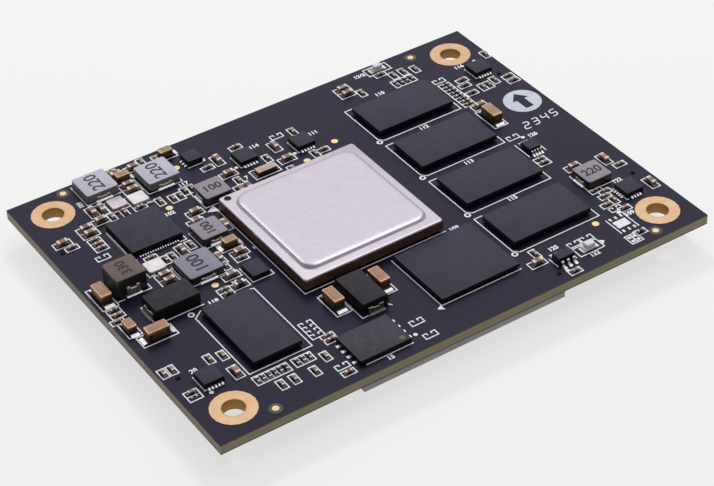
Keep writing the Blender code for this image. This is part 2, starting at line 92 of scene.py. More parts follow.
def useModifier(thing, kind, **settings):
    pick(thing)
    modifier = thing.modifiers.new(kind.title(), kind)
    for key, value in settings.items():
        setattr(modifier, key, value)
    bpy.ops.object.modifier_apply(modifier=modifier.name)
    return thing


def softEdges(thing, width, segments=2, angle=30.0):
    return useModifier(thing, "BEVEL", width=width * mm, segments=segments, limit_method="ANGLE",
                       angle_limit=math.radians(angle))


def cutWith(thing, cutter):
    useModifier(thing, "BOOLEAN", operation="DIFFERENCE", object=cutter)
    bpy.data.objects.remove(cutter)
    return thing


def openEdit(thing, kind):
    # one visit to edit mode clears the selection, so that code can choose faces or edges
    pick(thing)
    bpy.ops.object.mode_set(mode="EDIT")
    bpy.ops.mesh.select_mode(type=kind)
    bpy.ops.mesh.select_all(action="DESELECT")
    bpy.ops.object.mode_set(mode="OBJECT")


def editFaces(thing, test=lambda centre, normal: normal.z > 0.9):
    # edit mode with the faces chosen by their middle and normal: the upper face, if nothing is said
    openEdit(thing, "FACE")
    for face in thing.data.polygons:
        face.select = test(face.center, face.normal)
    bpy.ops.object.mode_set(mode="EDIT")


def editEdges(thing, test):
    # the same for edges, chosen by their two ends
    openEdit(thing, "EDGE")
    points = thing.data.vertices
    for edge in thing.data.edges:
        edge.select = test(points[edge.vertices[0]].co, points[edge.vertices[1]].co)
    bpy.ops.object.mode_set(mode="EDIT")


def leaveEdit():
    bpy.ops.object.mode_set(mode="OBJECT")


def drawOut(x, y, z, scale=None):
    # extrudes what is selected by a step in mm, then scales its new end
    bpy.ops.mesh.extrude_region_move(TRANSFORM_OT_translate={"value": (x * mm, y * mm, z * mm)})
    if scale:
        bpy.ops.transform.resize(value=scale)


def mergeTips():
    bpy.ops.mesh.select_all(action="SELECT")
    bpy.ops.mesh.remove_doubles(threshold=1e-7)
    leaveEdit()


def crown(thing, inset, depth):
    # draws the upper face in and lifts or sinks it, as solder, ink and plating do
    editFaces(thing)
    bpy.ops.mesh.inset(thickness=inset * mm, depth=depth * mm)
    leaveEdit()
    return thing


def slopeTop(thing, shrinkX, shrinkY, shiftX=0.0, shiftY=0.0):
    # shrinks the upper face and moves it, so the sides slope
    editFaces(thing)
    bpy.ops.transform.resize(value=(shrinkX, shrinkY, 1))
    bpy.ops.transform.translate(value=(shiftX * mm, shiftY * mm, 0))
    leaveEdit()
    return thing


def roundCorners(thing, radius, segments=4, corner=lambda x, y: True):
    # rounds the upright edges
    editEdges(thing, lambda a, b: abs(a.x - b.x) + abs(a.y - b.y) < 1e-6 and corner(a.x / mm, a.y / mm))
    bpy.ops.mesh.bevel(offset=radius * mm, segments=segments, affect="EDGES")
    leaveEdit()
    return thing


def copyOf(master, x, y, turn=0.0, lift=0.0, scale=(1, 1, 1)):
    # a copy with its own mesh
    twin = master.copy()
    twin.data = master.data.copy()
    scene.collection.objects.link(twin)
    twin.location = (x * mm, y * mm, lift * mm)
    twin.rotation_euler = (0, 0, math.radians(turn))
    twin.scale = scale
    return twin


def copyTo(master, places):
    return [copyOf(master, *place) for place in places]


def joinAs(name, things):
    pick(*things)
    if len(things) > 1:
        bpy.ops.object.join()
    joined = bpy.context.object
    joined.name = name
    return freeze(joined)


def pattern(master, name, places):
    # one joined piece of copies, and the master goes
    copies = copyTo(master, places)
    bpy.data.objects.remove(master)
    return joinAs(name, copies)


def finish(thing, slot, *materials, smooth=40.0, stands=None, where=None):
    # materials, smooth shading, the body it rides on and the solid that it stands for
    thing.data.materials.clear()
    for material in materials:
        thing.data.materials.append(looks[material] if isinstance(material, str) else material)
    for face in thing.data.polygons:
        face.material_index = int(where(face.center, face.normal)) if where else 0
    pick(thing)
    bpy.ops.object.shade_smooth_by_angle(angle=math.radians(smooth))
    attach(thing, "root")
    if stands:
        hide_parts(stands)


def onSide(centre, normal):
    return normal.z < 0.6


def belowRim(centre, normal):
    return normal.z < 0.2


def topRimSide(centre, normal):
    return 0 if normal.z > 0.93 else 1 if normal.z > 0.2 else 2


def plug(material, made, sockets):
    # each named socket of a node gets its link or its value
    for key, value in sockets.items():
        socket = made.inputs[key]
        if isinstance(value, bpy.types.NodeSocket):
            material.node_tree.links.new(value, socket)
        else:
            socket.default_value = (*value, 1) if socket.type == "RGBA" else value


def paintShader(material, sockets):
    plug(material, material.node_tree.nodes["Principled BSDF"], sockets)
    return material


def addNode(material, kind, sockets, output=0, **settings):
    # a new shader node; gives the output that the next one takes
    made = material.node_tree.nodes.new("ShaderNode" + kind)
    for key, value in settings.items():
        setattr(made, key, value)
    plug(material, made, sockets)
    return made.outputs[output]


def mathNode(material, operation, *values, **settings):
    return addNode(material, "Math", dict(enumerate(values)), operation=operation, **settings)


def vectorNode(material, operation, *values, output="Vector"):
    return addNode(material, "VectorMath", dict(enumerate(values)), output, operation=operation)


def blend(material, factor, first, second, kind="MIX"):
    return addNode(material, "Mix", {"Factor": factor, "A": first, "B": second}, "Result", data_type="RGBA",
                   blend_type=kind)


def ramp(material, value, stops):
    # colours by their place along a value, from the lowest to the highest
    colours = addNode(material, "ValToRGB", {"Fac": value}, "Color")
    elements = colours.node.color_ramp.elements
    elements[0].position, elements[1].position = stops[0][0], stops[-1][0]
    for position, colour in stops[1:-1]:
        elements.new(position)
    for element, (position, colour) in zip(elements, stops):
        element.color = (*colour, 1)
    return colours


def objectPlace(material):
    return material.node_tree.nodes["Texture Coordinate"].outputs["Object"]


def ownColour(material):
    return material.node_tree.nodes["Color Ramp"].outputs["Color"]


def rise(material, low, high):
    # 0 to 1 from one height above the table to another, in mm
    height = addNode(material, "SeparateXYZ", {"Vector": objectPlace(material)}, "Z")
    return addNode(material, "MapRange", {"Value": height, "From Min": low * mm, "From Max": high * mm})


def squareness(material, axis):
    # how squarely a face looks along one axis
    normal = addNode(material, "NewGeometry", {}, "True Normal")
    return mathNode(material, "ABSOLUTE", addNode(material, "SeparateXYZ", {"Vector": normal}, axis))


def surface(name, look):
    # a Principled surface with mottled colour, uneven gloss and fine relief
    material = bpy.data.materials.new(name)
    material.use_nodes = True
    place = addNode(material, "TexCoord", {}, "Object")
    patches, specks = look.get("mottle", 900.0), look.get("grain", 9000.0)
    mottle = addNode(material, "TexNoise", {"Vector": place, "Scale": patches, "Detail": 3.0})
    grain = addNode(material, "TexNoise", {"Vector": place, "Scale": specks, "Detail": 2.0})
    rough, uneven = look["rough"], look.get("uneven", 0.06)
    colours = [(0.35, look["colour"]), (0.65, look.get("second", look["colour"]))]
    return paintShader(material, {
        "Metallic": look.get("metal", 0.0),
        "Specular IOR Level": look.get("shine", 0.5),
        "Base Color": ramp(material, mottle, colours),
        "Roughness": addNode(material, "MapRange", {"Value": grain, "To Min": rough - uneven,
                                                    "To Max": rough + uneven}),
        "Normal": addNode(material, "Bump", {"Height": grain, "Strength": look.get("relief", 0.15),
                                             "Distance": 0.00002}),
    })


def paintedShadeByHeight(name, look, height, foot, waistShade, paintedFootHighlight=False):
    # a finish with painted shade down the sides, a painted reflection of the dark board there
    material = surface(name, look)
    stops = [(0.0, (foot, foot * 0.9, foot * 0.75)), (0.7, (waistShade, waistShade * 0.85, waistShade * 0.65)),
             (0.97, (1, 1, 1))]
    # painted highlight: white at the foot, then painted shade at the waist, and white again at the top
    if paintedFootHighlight:
        stops[:1] = [(0.0, (1, 1, 1)), (0.16, (0.9, 0.9, 0.9)), (0.3, (waistShade, waistShade, waistShade))]
    shade = ramp(material, rise(material, boardTop + 0.1, boardTop + height), stops)
    return paintShader(material, {"Base Color": blend(material, 1.0, ownColour(material), shade, "MULTIPLY")})


def paint(first, second, rough, **more):
    # two screen colours that mottle, the roughness, and what else differs from the usual
    return {"colour": tone(*first), "second": tone(*second), "rough": rough, **more}


finishes = {
    "mould": paint((38, 38, 57), (44, 44, 64), 0.58, grain=14000, relief=0.25),
    "softMould": paint((39, 38, 54), (50, 48, 63), 0.62, relief=0.3),
    "flashMould": paint((52, 50, 62), (64, 61, 73), 0.64, mottle=1500, relief=0.3),
    # painted shade: the sides of moulded packages, much darker than their tops
    "mouldSide": paint((12, 11, 15), (18, 17, 21), 0.55, relief=0.3, shine=0.2),
    "polymer": paint((39, 35, 45), (51, 46, 56), 0.66, grain=7000, relief=0.35, shine=0.4),
    "laminateBrown": paint((78, 50, 40), (104, 68, 52), 0.6, mottle=2500),
    "lid": paint((217, 209, 220), (212, 204, 215), 0.33, metal=1.0, mottle=1100, grain=16000, relief=0.08,
                 uneven=0.04),
    "blackPit": paint((24, 20, 22), (32, 27, 28), 0.7),
    "solder": paint((250, 248, 250), (226, 222, 227), 0.26, metal=0.35, mottle=2400, grain=6000, relief=0.35),
    "dullSolder": paint((178, 172, 170), (112, 106, 104), 0.34, metal=0.6, mottle=1800),
    # painted shade: the solder slope at each capacitor end, kept dark
    "shadedFilletSolder": paint((110, 104, 96), (70, 64, 58), 0.34, metal=0.7, mottle=2200),
    "pads": paint((254, 253, 254), (240, 238, 241), 0.25, metal=0.3, mottle=2400, grain=6000, relief=0.2),
    "strap": paint((176, 170, 166), (128, 120, 116), 0.3, metal=0.3, mottle=1800),
    # painted highlight: near white on the strap faces that look upwards
    "strapHighlight": paint((255, 254, 252), (240, 236, 233), 0.22, metal=0.1, mottle=1800),
    "darkStrap": paint((122, 112, 106), (96, 88, 84), 0.4, metal=0.4, mottle=1800),
    "brightGold": paint((255, 229, 174), (250, 218, 156), 0.34, metal=0.8, mottle=1500),
    "fiducial": paint((252, 226, 192), (246, 215, 178), 0.4, metal=0.6, mottle=1500),
    "gold": paint((236, 201, 166), (229, 191, 152), 0.5, metal=1.0, mottle=700, grain=11000),
    "contact": paint((226, 190, 138), (206, 166, 112), 0.32, metal=1.0, mottle=1500),
    "coil": paint((182, 179, 195), (199, 196, 212), 0.55, mottle=3500, grain=7000, relief=0.25),
    "brownCoil": paint((141, 133, 146), (157, 150, 163), 0.55, mottle=3500, grain=7000, relief=0.25),
    "darkCoil": paint((132, 129, 148), (145, 142, 160), 0.5, mottle=3500, grain=7000, relief=0.25),
    "tallCoil": paint((98, 84, 82), (112, 97, 94), 0.55, mottle=3500, grain=7000, relief=0.3),
    # painted shade: the sides of coils, darker than their tops
    "coilSide": paint((104, 109, 112), (126, 131, 134), 0.6, mottle=2500, grain=6000, relief=0.3),
    "darkSide": paint((34, 31, 32), (48, 43, 43), 0.4, mottle=2500, grain=6000, relief=0.3),
    "mark": paint((66, 60, 72), (80, 74, 86), 0.6),
    "darkMark": paint((40, 34, 36), (50, 44, 46), 0.6),
    "print": paint((252, 252, 255), (240, 241, 250), 0.5, mottle=3000),
    "discInk": paint((209, 214, 226), (196, 201, 214), 0.5, mottle=3000),
    "bareLaminate": paint((84, 74, 66), (98, 88, 78), 0.6, mottle=2500),
    "holeWall": paint((74, 78, 40), (96, 98, 52), 0.8),
    "olive": paint((112, 104, 78), (94, 88, 66), 0.6),
    "whiteBody": paint((252, 252, 250), (240, 239, 238), 0.4, mottle=2200),
    "greenBase": paint((212, 220, 212), (232, 236, 230), 0.4, mottle=2200),
    "paleLens": paint((226, 224, 230), (236, 234, 238), 0.2),
    "milkyLens": paint((220, 217, 232), (233, 230, 242), 0.16),
    "softLid": paint((228, 216, 222), (212, 200, 206), 0.4, metal=0.7),
    "brightLid": paint((246, 238, 244), (233, 225, 231), 0.36, metal=0.3),
    "traySide": paint((96, 86, 84), (140, 124, 116), 0.45, metal=0.4, mottle=1600),
    "housing": paint((234, 226, 225), (220, 212, 211), 0.45, metal=0.25, mottle=500),
    "brownChip": paint((132, 104, 82), (160, 130, 102), 0.4, mottle=700),
    "greyChip": paint((104, 94, 90), (146, 136, 130), 0.42, mottle=700),
    "blackChip": paint((34, 32, 36), (52, 48, 54), 0.4),
    "roseChip": paint((132, 92, 80), (160, 116, 102), 0.4, mottle=800),
    "paleEnd": paint((240, 232, 232), (210, 196, 196), 0.26, metal=0.5, mottle=1800),
}
looks = {name: surface(name, look) for name, look in finishes.items()}
print("plain finishes:", len(looks))


# the camera stands where the photographer's did
camera = {"place": (-0.125532, -0.199033, 0.184500), "turn": (51.7753, 1.8836, -33.8048), "lens": 104.963,
          "sensor": 36.0, "nearest": 0.01}
bpy.ops.object.camera_add(location=camera["place"], rotation=[math.radians(a) for a in camera["turn"]])
eye = bpy.context.object
eye.name = "camera"
eye.data.lens = camera["lens"]
eye.data.sensor_width = camera["sensor"]
eye.data.clip_start = camera["nearest"]
scene.camera = eye


board = {
    "size": (80.0, 60.0, 1.6),
    "cornerHoles": [(-35, 25), (35, 25), (35, -25), (-35, -25)],
    "cornerHole": (1.77, 48),      # radius and sides
    "toolingHoles": [(-38.05, 16.2), (-38.0, -16.0), (37.9, 16.1), (37.9, -16.1), (15.05, -28.05)],
    "toolingHole": (0.4, 20),
    "mask": tone(17, 10, 39),
    "copperUnderMask": tone(27, 20, 51),
    "edgeLight": tone(162, 157, 126),
    "edgeDark": tone(148, 142, 110),
    "skin": tone(92, 84, 76),
    "fibres": (0.78, 0.76, 0.72),
    "shortSides": (1.06, 1.0, 1.34),
}


def maskMaterial():
    # near-black solder mask, with copper tracks, pours and vias showing faintly through it
    material = surface("solderMask", {"colour": board["mask"], "rough": 0.38, "grain": 5000, "relief": 0.12,
                                      "shine": 0.28})
    place = objectPlace(material)
    turned = addNode(material, "Mapping", {"Vector": place, "Rotation": (0, 0, math.radians(45))})
    tracks = addNode(material, "TexBrick", {"Vector": turned, "Scale": 260.0, "Mortar Size": 0.035,
                                            "Mortar Smooth": 0.3, "Color1": (0, 0, 0), "Color2": (0, 0, 0),
                                            "Mortar": (1, 1, 1)}, "Fac")
    pours = addNode(material, "TexVoronoi", {"Vector": place, "Scale": 150.0}, "Color", distance="CHEBYCHEV")
    vias = addNode(material, "TexVoronoi", {"Vector": place, "Scale": 420.0}, "Distance")
    viaDots = addNode(material, "MapRange", {"Value": vias, "From Min": 0.16, "From Max": 0.11})
    copper = mathNode(material, "MULTIPLY_ADD", tracks, 0.45, mathNode(material, "MULTIPLY", pours, 0.5))
    copper = mathNode(material, "MULTIPLY_ADD", viaDots, 0.5, copper)
    plug(material, material.node_tree.nodes["Bump"], {"Height": copper})
    mask = blend(material, copper, board["mask"], board["copperUnderMask"])
    return paintShader(material, {"Base Color": mask})


def edgeMaterial():
    # cut glass laminate: thin pressed layers between two dark skins, and greyer at the short sides
    light, dark, skin = board["edgeLight"], board["edgeDark"], board["skin"]
    material = surface("cutLaminate", {"colour": light, "rough": 0.7, "grain": 8000, "relief": 0.5})
    layers = ramp(material, rise(material, boardBottom, boardTop), [
        (0.1, skin), (0.15, dark), (0.3, light), (0.5, dark), (0.7, light), (0.88, dark), (0.93, skin)])
    fibres = material.node_tree.nodes["Noise Texture"]
    plug(material, fibres, {"Scale": 1400.0})
    pressed = blend(material, fibres.outputs["Fac"], layers, board["fibres"], "MULTIPLY")
    return paintShader(material, {"Base Color": blend(material, squareness(material, "X"), pressed,
                                                      board["shortSides"], "MULTIPLY")})


def boardFace(centre, normal):
    # mask above and below, cut laminate at the outer edge, dark walls in the holes
    if abs(normal.z) > 0.9:
        return 0
    length, width, _ = board["size"]
    return 1 if max(abs(centre.x) - length * mm / 2, abs(centre.y) - width * mm / 2) > -0.05 * mm else 2


slab = block("boardSlab", board["size"], (0, 0, -board["size"][2] / 2))
softEdges(slab, 0.04, 1, 60)
for hole in ("cornerHole", "toolingHole"):
    radius, sides = board[hole]
    for x, y in board[hole + "s"]:
        cutWith(slab, rod("holeCutter", radius, 4, (x, y, -0.8), sides))
solderMask = maskMaterial()
finish(slab, "board_laminate", solderMask, edgeMaterial(), "holeWall", stands="circuit_board",
       where=boardFace)

ring = {
    "middle": (35 * mm, 25 * mm, 0),
    "inner": 1.6,
    "outer": 3.2,
    "bore": tone(190, 144, 86),
    # painted light across the land: painted shade on the bore wall, a painted orange highlight at the bore's
    # edge and a painted lighter highlight at the outer edge
    "paintedRimLight": [(0.0, (0.7, 0.72, 0.72)), (0.015, (0.7, 0.72, 0.72)), (0.03, (1.0, 0.7, 0.36)),
             (0.07, (1.0, 0.76, 0.46)), (0.1, (1, 1, 1)), (0.93, (1, 1, 1)), (1.0, (1.1, 1.12, 1.16))],
}


def ringMaterial():
    # matte gold on the lands, darker bronze down the plated bore
    material = surface("platedRing", finishes["gold"])
    plated = blend(material, squareness(material, "Z"), ring["bore"], ownColour(material))
    # the four holes are mirror images, so the distance from any of them is the distance from one
    quarter = vectorNode(material, "ABSOLUTE", objectPlace(material))
    apart = vectorNode(material, "SUBTRACT", quarter, ring["middle"])
    flat = vectorNode(material, "MULTIPLY", apart, (1, 1, 0))
    radius = vectorNode(material, "LENGTH", flat, output="Value")
    across = addNode(material, "MapRange", {"Value": radius, "From Min": ring["inner"] * mm,
                                            "From Max": ring["outer"] * mm})
    # painted shade and painted highlights, by distance from the hole's middle
    paintedRimLight = ramp(material, across, ring["paintedRimLight"])
    return paintShader(material, {"Base Color": blend(material, 1.0, plated, paintedRimLight, "MULTIPLY")})


def dressSolids(start, material):
    # a new finish for the solids that stay in view
    for name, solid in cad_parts.items():
        if name.startswith(start):
            solid.data.materials.clear()
            solid.data.materials.append(material)


dressSolids("mounting_ring", ringMaterial())

# gold dots: fiducials in a bare ring, and test points
dots = {
    "fiducials": [(-31.5, 28.7), (29.5, 28.05), (-30.7, -28.2), (31.8, -28.4)],
    "testPoints": [(-15.0, 24.4), (-20.7, 16.5), (-24.3, -2.4), (7.45, 16.2), (1.5, 14.5), (26.0, -22.3)],
    "bareRadius": 0.95,
    "fiducialRadius": 0.48,
    "testRadius": 0.52,
}


def goldDot(radius):
    return crown(rod("goldDot", radius, 0.03, (0, 0, 0.015), 24), 0.08, 0.01)


bareRing = crown(rod("bareRing", dots["bareRadius"], 0.012, (0, 0, 0.006), 28), 0.05, -0.004)
finish(pattern(bareRing, "bareRings", dots["fiducials"]), "board_laminate", "bareLaminate")
finish(pattern(goldDot(dots["fiducialRadius"]), "fiducials", dots["fiducials"]), "gold_plating", "fiducial")
finish(pattern(goldDot(dots["testRadius"]), "testPoints", dots["testPoints"]), "gold_plating", "brightGold")
print("board done")


processor = {
    "middle": (-3.65, 0.45),
    "side": 23.0,
    "balls": (28, 28, 0.22, 0.3),      # along, across, radius and height
    "carrierTop": 1.72,
    "lidBottom": 1.77,
    "flangeTop": 2.07,
    "roll": [(0.1, 0.08), (0.14, 0.045), (0.05, 0.0)],
    "stepInset": 1.15,
    "stepProfile": [(0.02, 0.0), (0.05, 0.09), (0.14, 0.15), (0.28, 0.2), (0.38, 0.27), (0.46, 0.37),
                    (0.525, 0.51), (0.58, 0.68), (0.62, 0.87), (0.643, 1.07),
                    (0.65, 1.27)],      # height and inset
    "cornerRadius": 0.45,
    "stepRadius": 1.9,
    "markedRadius": 2.6,
    "dimple": (-10.4, 10.6, 0.55),
}


def makeProcessor():
    x, y = processor["middle"]
    side, low, high = processor["side"], processor["balls"][3], processor["carrierTop"]
    carrier = block("processorCarrier", (side, side, high - low), (x, y, (low + high) / 2))
    softEdges(carrier, 0.05, 1)
    finish(carrier, "carrier_laminate", "laminateBrown", stands="processor_carrier")

    base, top = processor["lidBottom"], processor["flangeTop"]
    fall = sum(depth for inset, depth in processor["roll"])
    lid = block("processorLid", (side, side, top - fall - base), (x, y, (base + top - fall) / 2))
    roundCorners(lid, processor["cornerRadius"])
    for inset, depth in processor["roll"]:      # its outer edge falls away a little
        crown(lid, inset, depth)
    (reached, _), *levels = processor["stepProfile"]
    width = step = side - 2 * processor["stepInset"]
    plate = block("lidPlate", (step, step, reached + 0.02), (x, y, top + reached / 2 - 0.01))
    roundCorners(plate, processor["markedRadius"], 8, lambda px, py: px < x and py > y)
    roundCorners(plate, processor["stepRadius"], 6, lambda px, py: px > x or py < y)
    editFaces(plate)
    for height, inset in levels:
        shrink = (step - 2 * inset) / width
        drawOut(0, 0, height - reached, (shrink, shrink, 1))
        width, reached = step - 2 * inset, height
    leaveEdit()
    dimpleX, dimpleY, radius = processor["dimple"]
    cutWith(lid, rod("dimpleCutter", radius, 0.4, (x + dimpleX, y + dimpleY, top + 0.05), 28))
    pit = rod("lidDimple", radius * 0.97, 0.02, (x + dimpleX, y + dimpleY, top - 0.135), 24)
    finish(crown(pit, 0.15, -0.008), "carrier_laminate", "blackPit")
    finish(joinAs("processorLid", [lid, plate]), "nickel_lid", "lid", smooth=60, stands="processor_lid")


def ballRing(columns, rows, radius, height, middle, pitch=0.8):
    # the outer balls of a grid, which are the only ones that show
    pick()
    bpy.ops.mesh.primitive_uv_sphere_add(segments=8, ring_count=6, radius=radius * mm,
                                         location=at(0, 0, height / 2))
    ball = named("solderBall", (1, 1, height / 2 / radius))
    editFaces(ball, lambda centre, normal: abs(normal.z) > 0.85)
    bpy.ops.transform.resize(value=(1.2, 1.2, 1))      # flattened where it wets its pads
    leaveEdit()
    x, y = middle
    copies = copyTo(ball, [(x + (column - (columns - 1) / 2) * pitch, y + (row - (rows - 1) / 2) * pitch)
                           for column in range(columns) for row in range(rows)
                           if min(column, row, columns - 1 - column, rows - 1 - row) < 1])
    bpy.data.objects.remove(ball)
    return copies


makeProcessor()
print("processor done")


# memory in a column, one more at the left, and the storage package in front
packages = {
    "column": [(20.23, 16.8), (20.23, 5.78), (20.23, -5.24), (20.23, -16.26)],
    "balls": (0.2, 0.27),      # radius and height
}
packages["rows"] = {      # x, y, length, width, height, and the balls along and across
    **{f"memory_chip_{index}": (*middle, 13.5, 7.5, 1.07, 16, 9)
       for index, middle in enumerate(packages["column"], 1)},
    "memory_chip_5": (-25.2, -13.35, 7.5, 13.5, 1.07, 9, 16),
    "storage_chip": (4.9, -18.18, 13.0, 11.5, 0.85, 15, 13),
}


def mouldFinish(body, node, look="mould"):
    # faces that stand up take the darker side finish, a painted shade
    finish(body, "mould_compound", look, "mouldSide", stands=node, where=onSide)


grids = [(*processor["balls"], processor["middle"])]
for node, (x, y, length, width, height, columns, rows) in packages["rows"].items():
    radius, low = packages["balls"]
    body = block(node.replace("_chip", "Body").replace("_", ""), (length, width, height - low),
                 (x, y, (low + height) / 2))
    mouldFinish(softEdges(body, 0.06), node)
    grids.append((columns, rows, radius, low, (x, y)))
balls = [ball for grid in grids for ball in ballRing(*grid)]
finish(joinAs("solderBalls", balls), "crystal_metal", "solder")
print("packages done")


# chips whose pads only peek out at the sides: node, middle, size, look and rows of pads;
# a row is its x and y from the middle, how many, their pitch and its turn
endRows = [(0, -1.68, 5, 0.5, 0), (0, 1.68, 5, 0.5, 180)]
leadless = {
    "regulator1": ("regulator_1", -5.7, 20.3, (3.0, 3.0, 0.9), "mould", endRows),
    "regulator2": ("regulator_2", 3.17, 18.55, (3.0, 3.0, 0.9), "mould", endRows),
    "regulator3": ("regulator_3", 35.9, 18.75, (3.0, 3.0, 0.9), "mould", endRows),
    "regulator4": ("regulator_4", -34.75, -18.45, (3.0, 3.0, 0.9), "mould", endRows),
    "clockChip": ("clock_generator", 34.75, -18.9, (3.0, 3.0, 0.9), "mould",
                  [(0, -1.68, 4, 0.5, 0), (0, 1.68, 4, 0.5, 180), (-1.68, 0, 4, 0.5, 270),
                   (1.68, 0, 4, 0.5, 90)]),
    "regulator5": ("regulator_5", -12.2, 24.75, (2.5, 2.5, 0.9), "mould",
                   [(-1.42, -0.15, 3, 0.65, 270), (1.42, -0.15, 3, 0.65, 90)]),
    "monitorChip": ("monitor_chip", -18.2, -3.1, (2.7, 3.3, 0.8), "mould", []),
    "powerController": ("power_controller", -26.5, 13.5, (8.0, 8.0, 0.9), "softMould",
                        [(0, -4.34, 16, 0.4, 0), (0, 4.34, 16, 0.4, 180), (-4.34, 0, 16, 0.4, 270),
                         (4.34, 0, 16, 0.4, 90)]),
    "flashChip": ("flash_chip", -13.4, -24.9, (8.0, 6.0, 0.8), "flashMould", []),
}
toes = {"pad": [], "fine": []}
for name, (node, x, y, (length, width, height), look, rows) in leadless.items():
    body = block(name, (length, width, height - 0.05), (x, y, height / 2 + 0.025))
    mouldFinish(softEdges(body, 0.05), node, look)
    for dx, dy, count, pitch, turn in rows:      # turn 0 sets the row along x with its toes towards -y
        along = math.radians(turn)
        for index in range(count):
            step = (index - (count - 1) / 2) * pitch
            toes["fine" if pitch < 0.5 else "pad"].append(
                (x + dx + step * math.cos(along), y + dy + step * math.sin(along), turn))
pinSpot = crown(rod("flashSpot", 0.42, 0.03, (-10.35, -27.1, 0.8), 24), 0.06, -0.01)
finish(pinSpot, "mould_compound", "olive")

# a pad toe is a low block with its outer top edge sloped: size, and how its top shrinks and shifts
toeShapes = {
    "pad": ("padToes", (0.28, 0.54, 0.17), (0.9, 0.3, 0, 0.12)),
    "fine": ("finePadToes", (0.18, 0.3, 0.12), (0.85, 0.4, 0, 0.06)),
}
for kind, (name, size, slope) in toeShapes.items():
    toe = slopeTop(block("padToe", size, (0, -0.02, size[2] / 2)), *slope)
    finish(pattern(toe, name, toes[kind]), "crystal_metal", "pads")
flashPads = {"size": (0.62, 0.5, 0.08), "dome": (0.12, 0.07),
             "places": [(x, y) for x in (-17.72, -9.05) for y in (-22.95, -24.25, -25.5, -26.85)]}
bump = crown(block("flashPad", flashPads["size"], (0, 0, flashPads["size"][2] / 2)), *flashPads["dome"])
finish(pattern(bump, "flashPads", flashPads["places"]), "crystal_metal", "pads")
print("leadless chips done")


# two chips with bent leads: a temperature sensor and a bus buffer
leaded = {
    "sensor": {"middle": (17.47, -25.9), "body": (2.9, 1.65, 1.1), "span": 3.0, "leadWidth": 0.38,
               "pitch": 0.95, "count": 3, "node": "sensor_chip"},
    "buffer": {"middle": (29.8, -2.5), "body": (2.1, 2.3, 0.8), "span": 3.4, "leadWidth": 0.22,
               "pitch": 0.5, "count": 4, "node": "buffer_chip"},
}


def leadedChip(name, chip):
    x, y = chip["middle"]
    length, width, height = chip["body"]
    body = block(name + "Body", (length, width, height - 0.1), (x, y, 0.1 + height / 2))
    editFaces(body, lambda centre, normal: abs(normal.z) > 0.9)
    bpy.ops.transform.resize(value=(0.95, 0.93, 1))
    leaveEdit()
    mouldFinish(softEdges(body, 0.04, 1, 20), chip["node"])
    # one bent lead: a strip drawn out edge by edge over the knee and the foot, then given its thickness
    reach, thick, leadTop = chip["span"] / 2, 0.12, 0.05 + height / 2
    lead = block("lead", (chip["leadWidth"], 0.2, thick), (0, width / 2, leadTop))
    editFaces(lead, lambda centre, normal: normal.y < 0.9)
    bpy.ops.mesh.delete(type="FACE")      # only the outer end is kept, and from it the strip grows
    leaveEdit()
    editEdges(lead, lambda a, b: min(a.z, b.z) > at(0, 0, leadTop).z)
    bpy.ops.mesh.select_all(action="INVERT")
    bpy.ops.mesh.delete(type="EDGE")
    leaveEdit()
    editEdges(lead, lambda a, b: True)
    drop, run = leadTop + thick / 2 - 0.1, reach - width / 2
    for forth, down in ((0.1, 0.02), (0.07, 0.08), (0.06, drop - 0.2), (0.06, 0.08), (run - 0.32, 0.02)):
        drawOut(0, forth, -down)
    leaveEdit()
    useModifier(lead, "SOLIDIFY", thickness=thick * mm, offset=0, use_even_offset=True)
    steps = [(index - (chip["count"] - 1) / 2) * chip["pitch"] for index in range(chip["count"])]
    places = [(x + step, y, turn) for turn in (0, 180) for step in steps]
    # the leads get painted shade, darkest at the knee, and a painted highlight at the foot
    shadedLeadFinish = paintedShadeByHeight(name + "Lead", finishes["pads"], leadTop + thick / 2, 1.0, 0.2, paintedFootHighlight=True)
    finish(pattern(lead, name + "Leads", places), "crystal_metal", shadedLeadFinish, stands=chip["node"])
    foot = block("leadPad", (chip["leadWidth"] + 0.12, 0.7, 0.16), (0, reach + 0.02, 0.08))
    finish(pattern(slopeTop(foot, 0.8, 0.25, 0, -0.12), name + "Pads", places), "crystal_metal", "pads")


for name, chip in leaded.items():
    leadedChip(name, chip)
print("leaded chips done")


def flatNumber(name, text, x, y, z, size, turn, bold=0.045):
    pick()
    bpy.ops.object.text_add(location=at(x, y, z), rotation=(0, 0, math.radians(turn)))
    made = bpy.context.object
    made.name = name
    for key, value in {"body": text, "size": size * mm, "align_x": "CENTER", "align_y": "CENTER",
                       "extrude": 0.01 * mm, "offset": bold * mm, "resolution_u": 3}.items():
        setattr(made.data, key, value)
    bpy.ops.object.convert(target="MESH")
    return freeze(bpy.context.object)


def strapPair(reach, strap, soft, notch, notchTop, foot, footGap, footTop):
    # a metal strap on each side, with a notch in its upper edge, and a solder foot before it
    straps, feet = [], []
    shrinkX, shrinkY, shift = footTop
    for facing in (-1, 1):
        made = block("strap", strap, (0, facing * reach, strap[2] / 2 + 0.05))
        cutWith(made, block("notchCutter", notch, (0, facing * reach, notchTop)))
        straps.append(softEdges(made, *soft))
        made = block("foot", foot, (0, facing * (reach + footGap), foot[2] / 2))
        feet.append(slopeTop(made, shrinkX, shrinkY, 0, -facing * shift))
    return joinAs("straps", straps), joinAs("feet", feet)


def finishStrapped(name, node, place, parts, slot, *bodyLooks, strapLook, footLook):
    kinds = ("Body", "Straps", "Feet")
    body, straps, feet = [pattern(part, name + kind, [place]) for part, kind in zip(parts, kinds)]
    # the body's sides take its second finish, a painted shade darker than the top
    finish(body, slot, *bodyLooks, stands=node, where=onSide)
    # the strap faces that look upwards take a painted highlight, the rest their own metal
    finish(straps, "crystal_metal", "strapHighlight", strapLook, stands=node, where=belowRim)
    finish(feet, "crystal_metal", footLook)


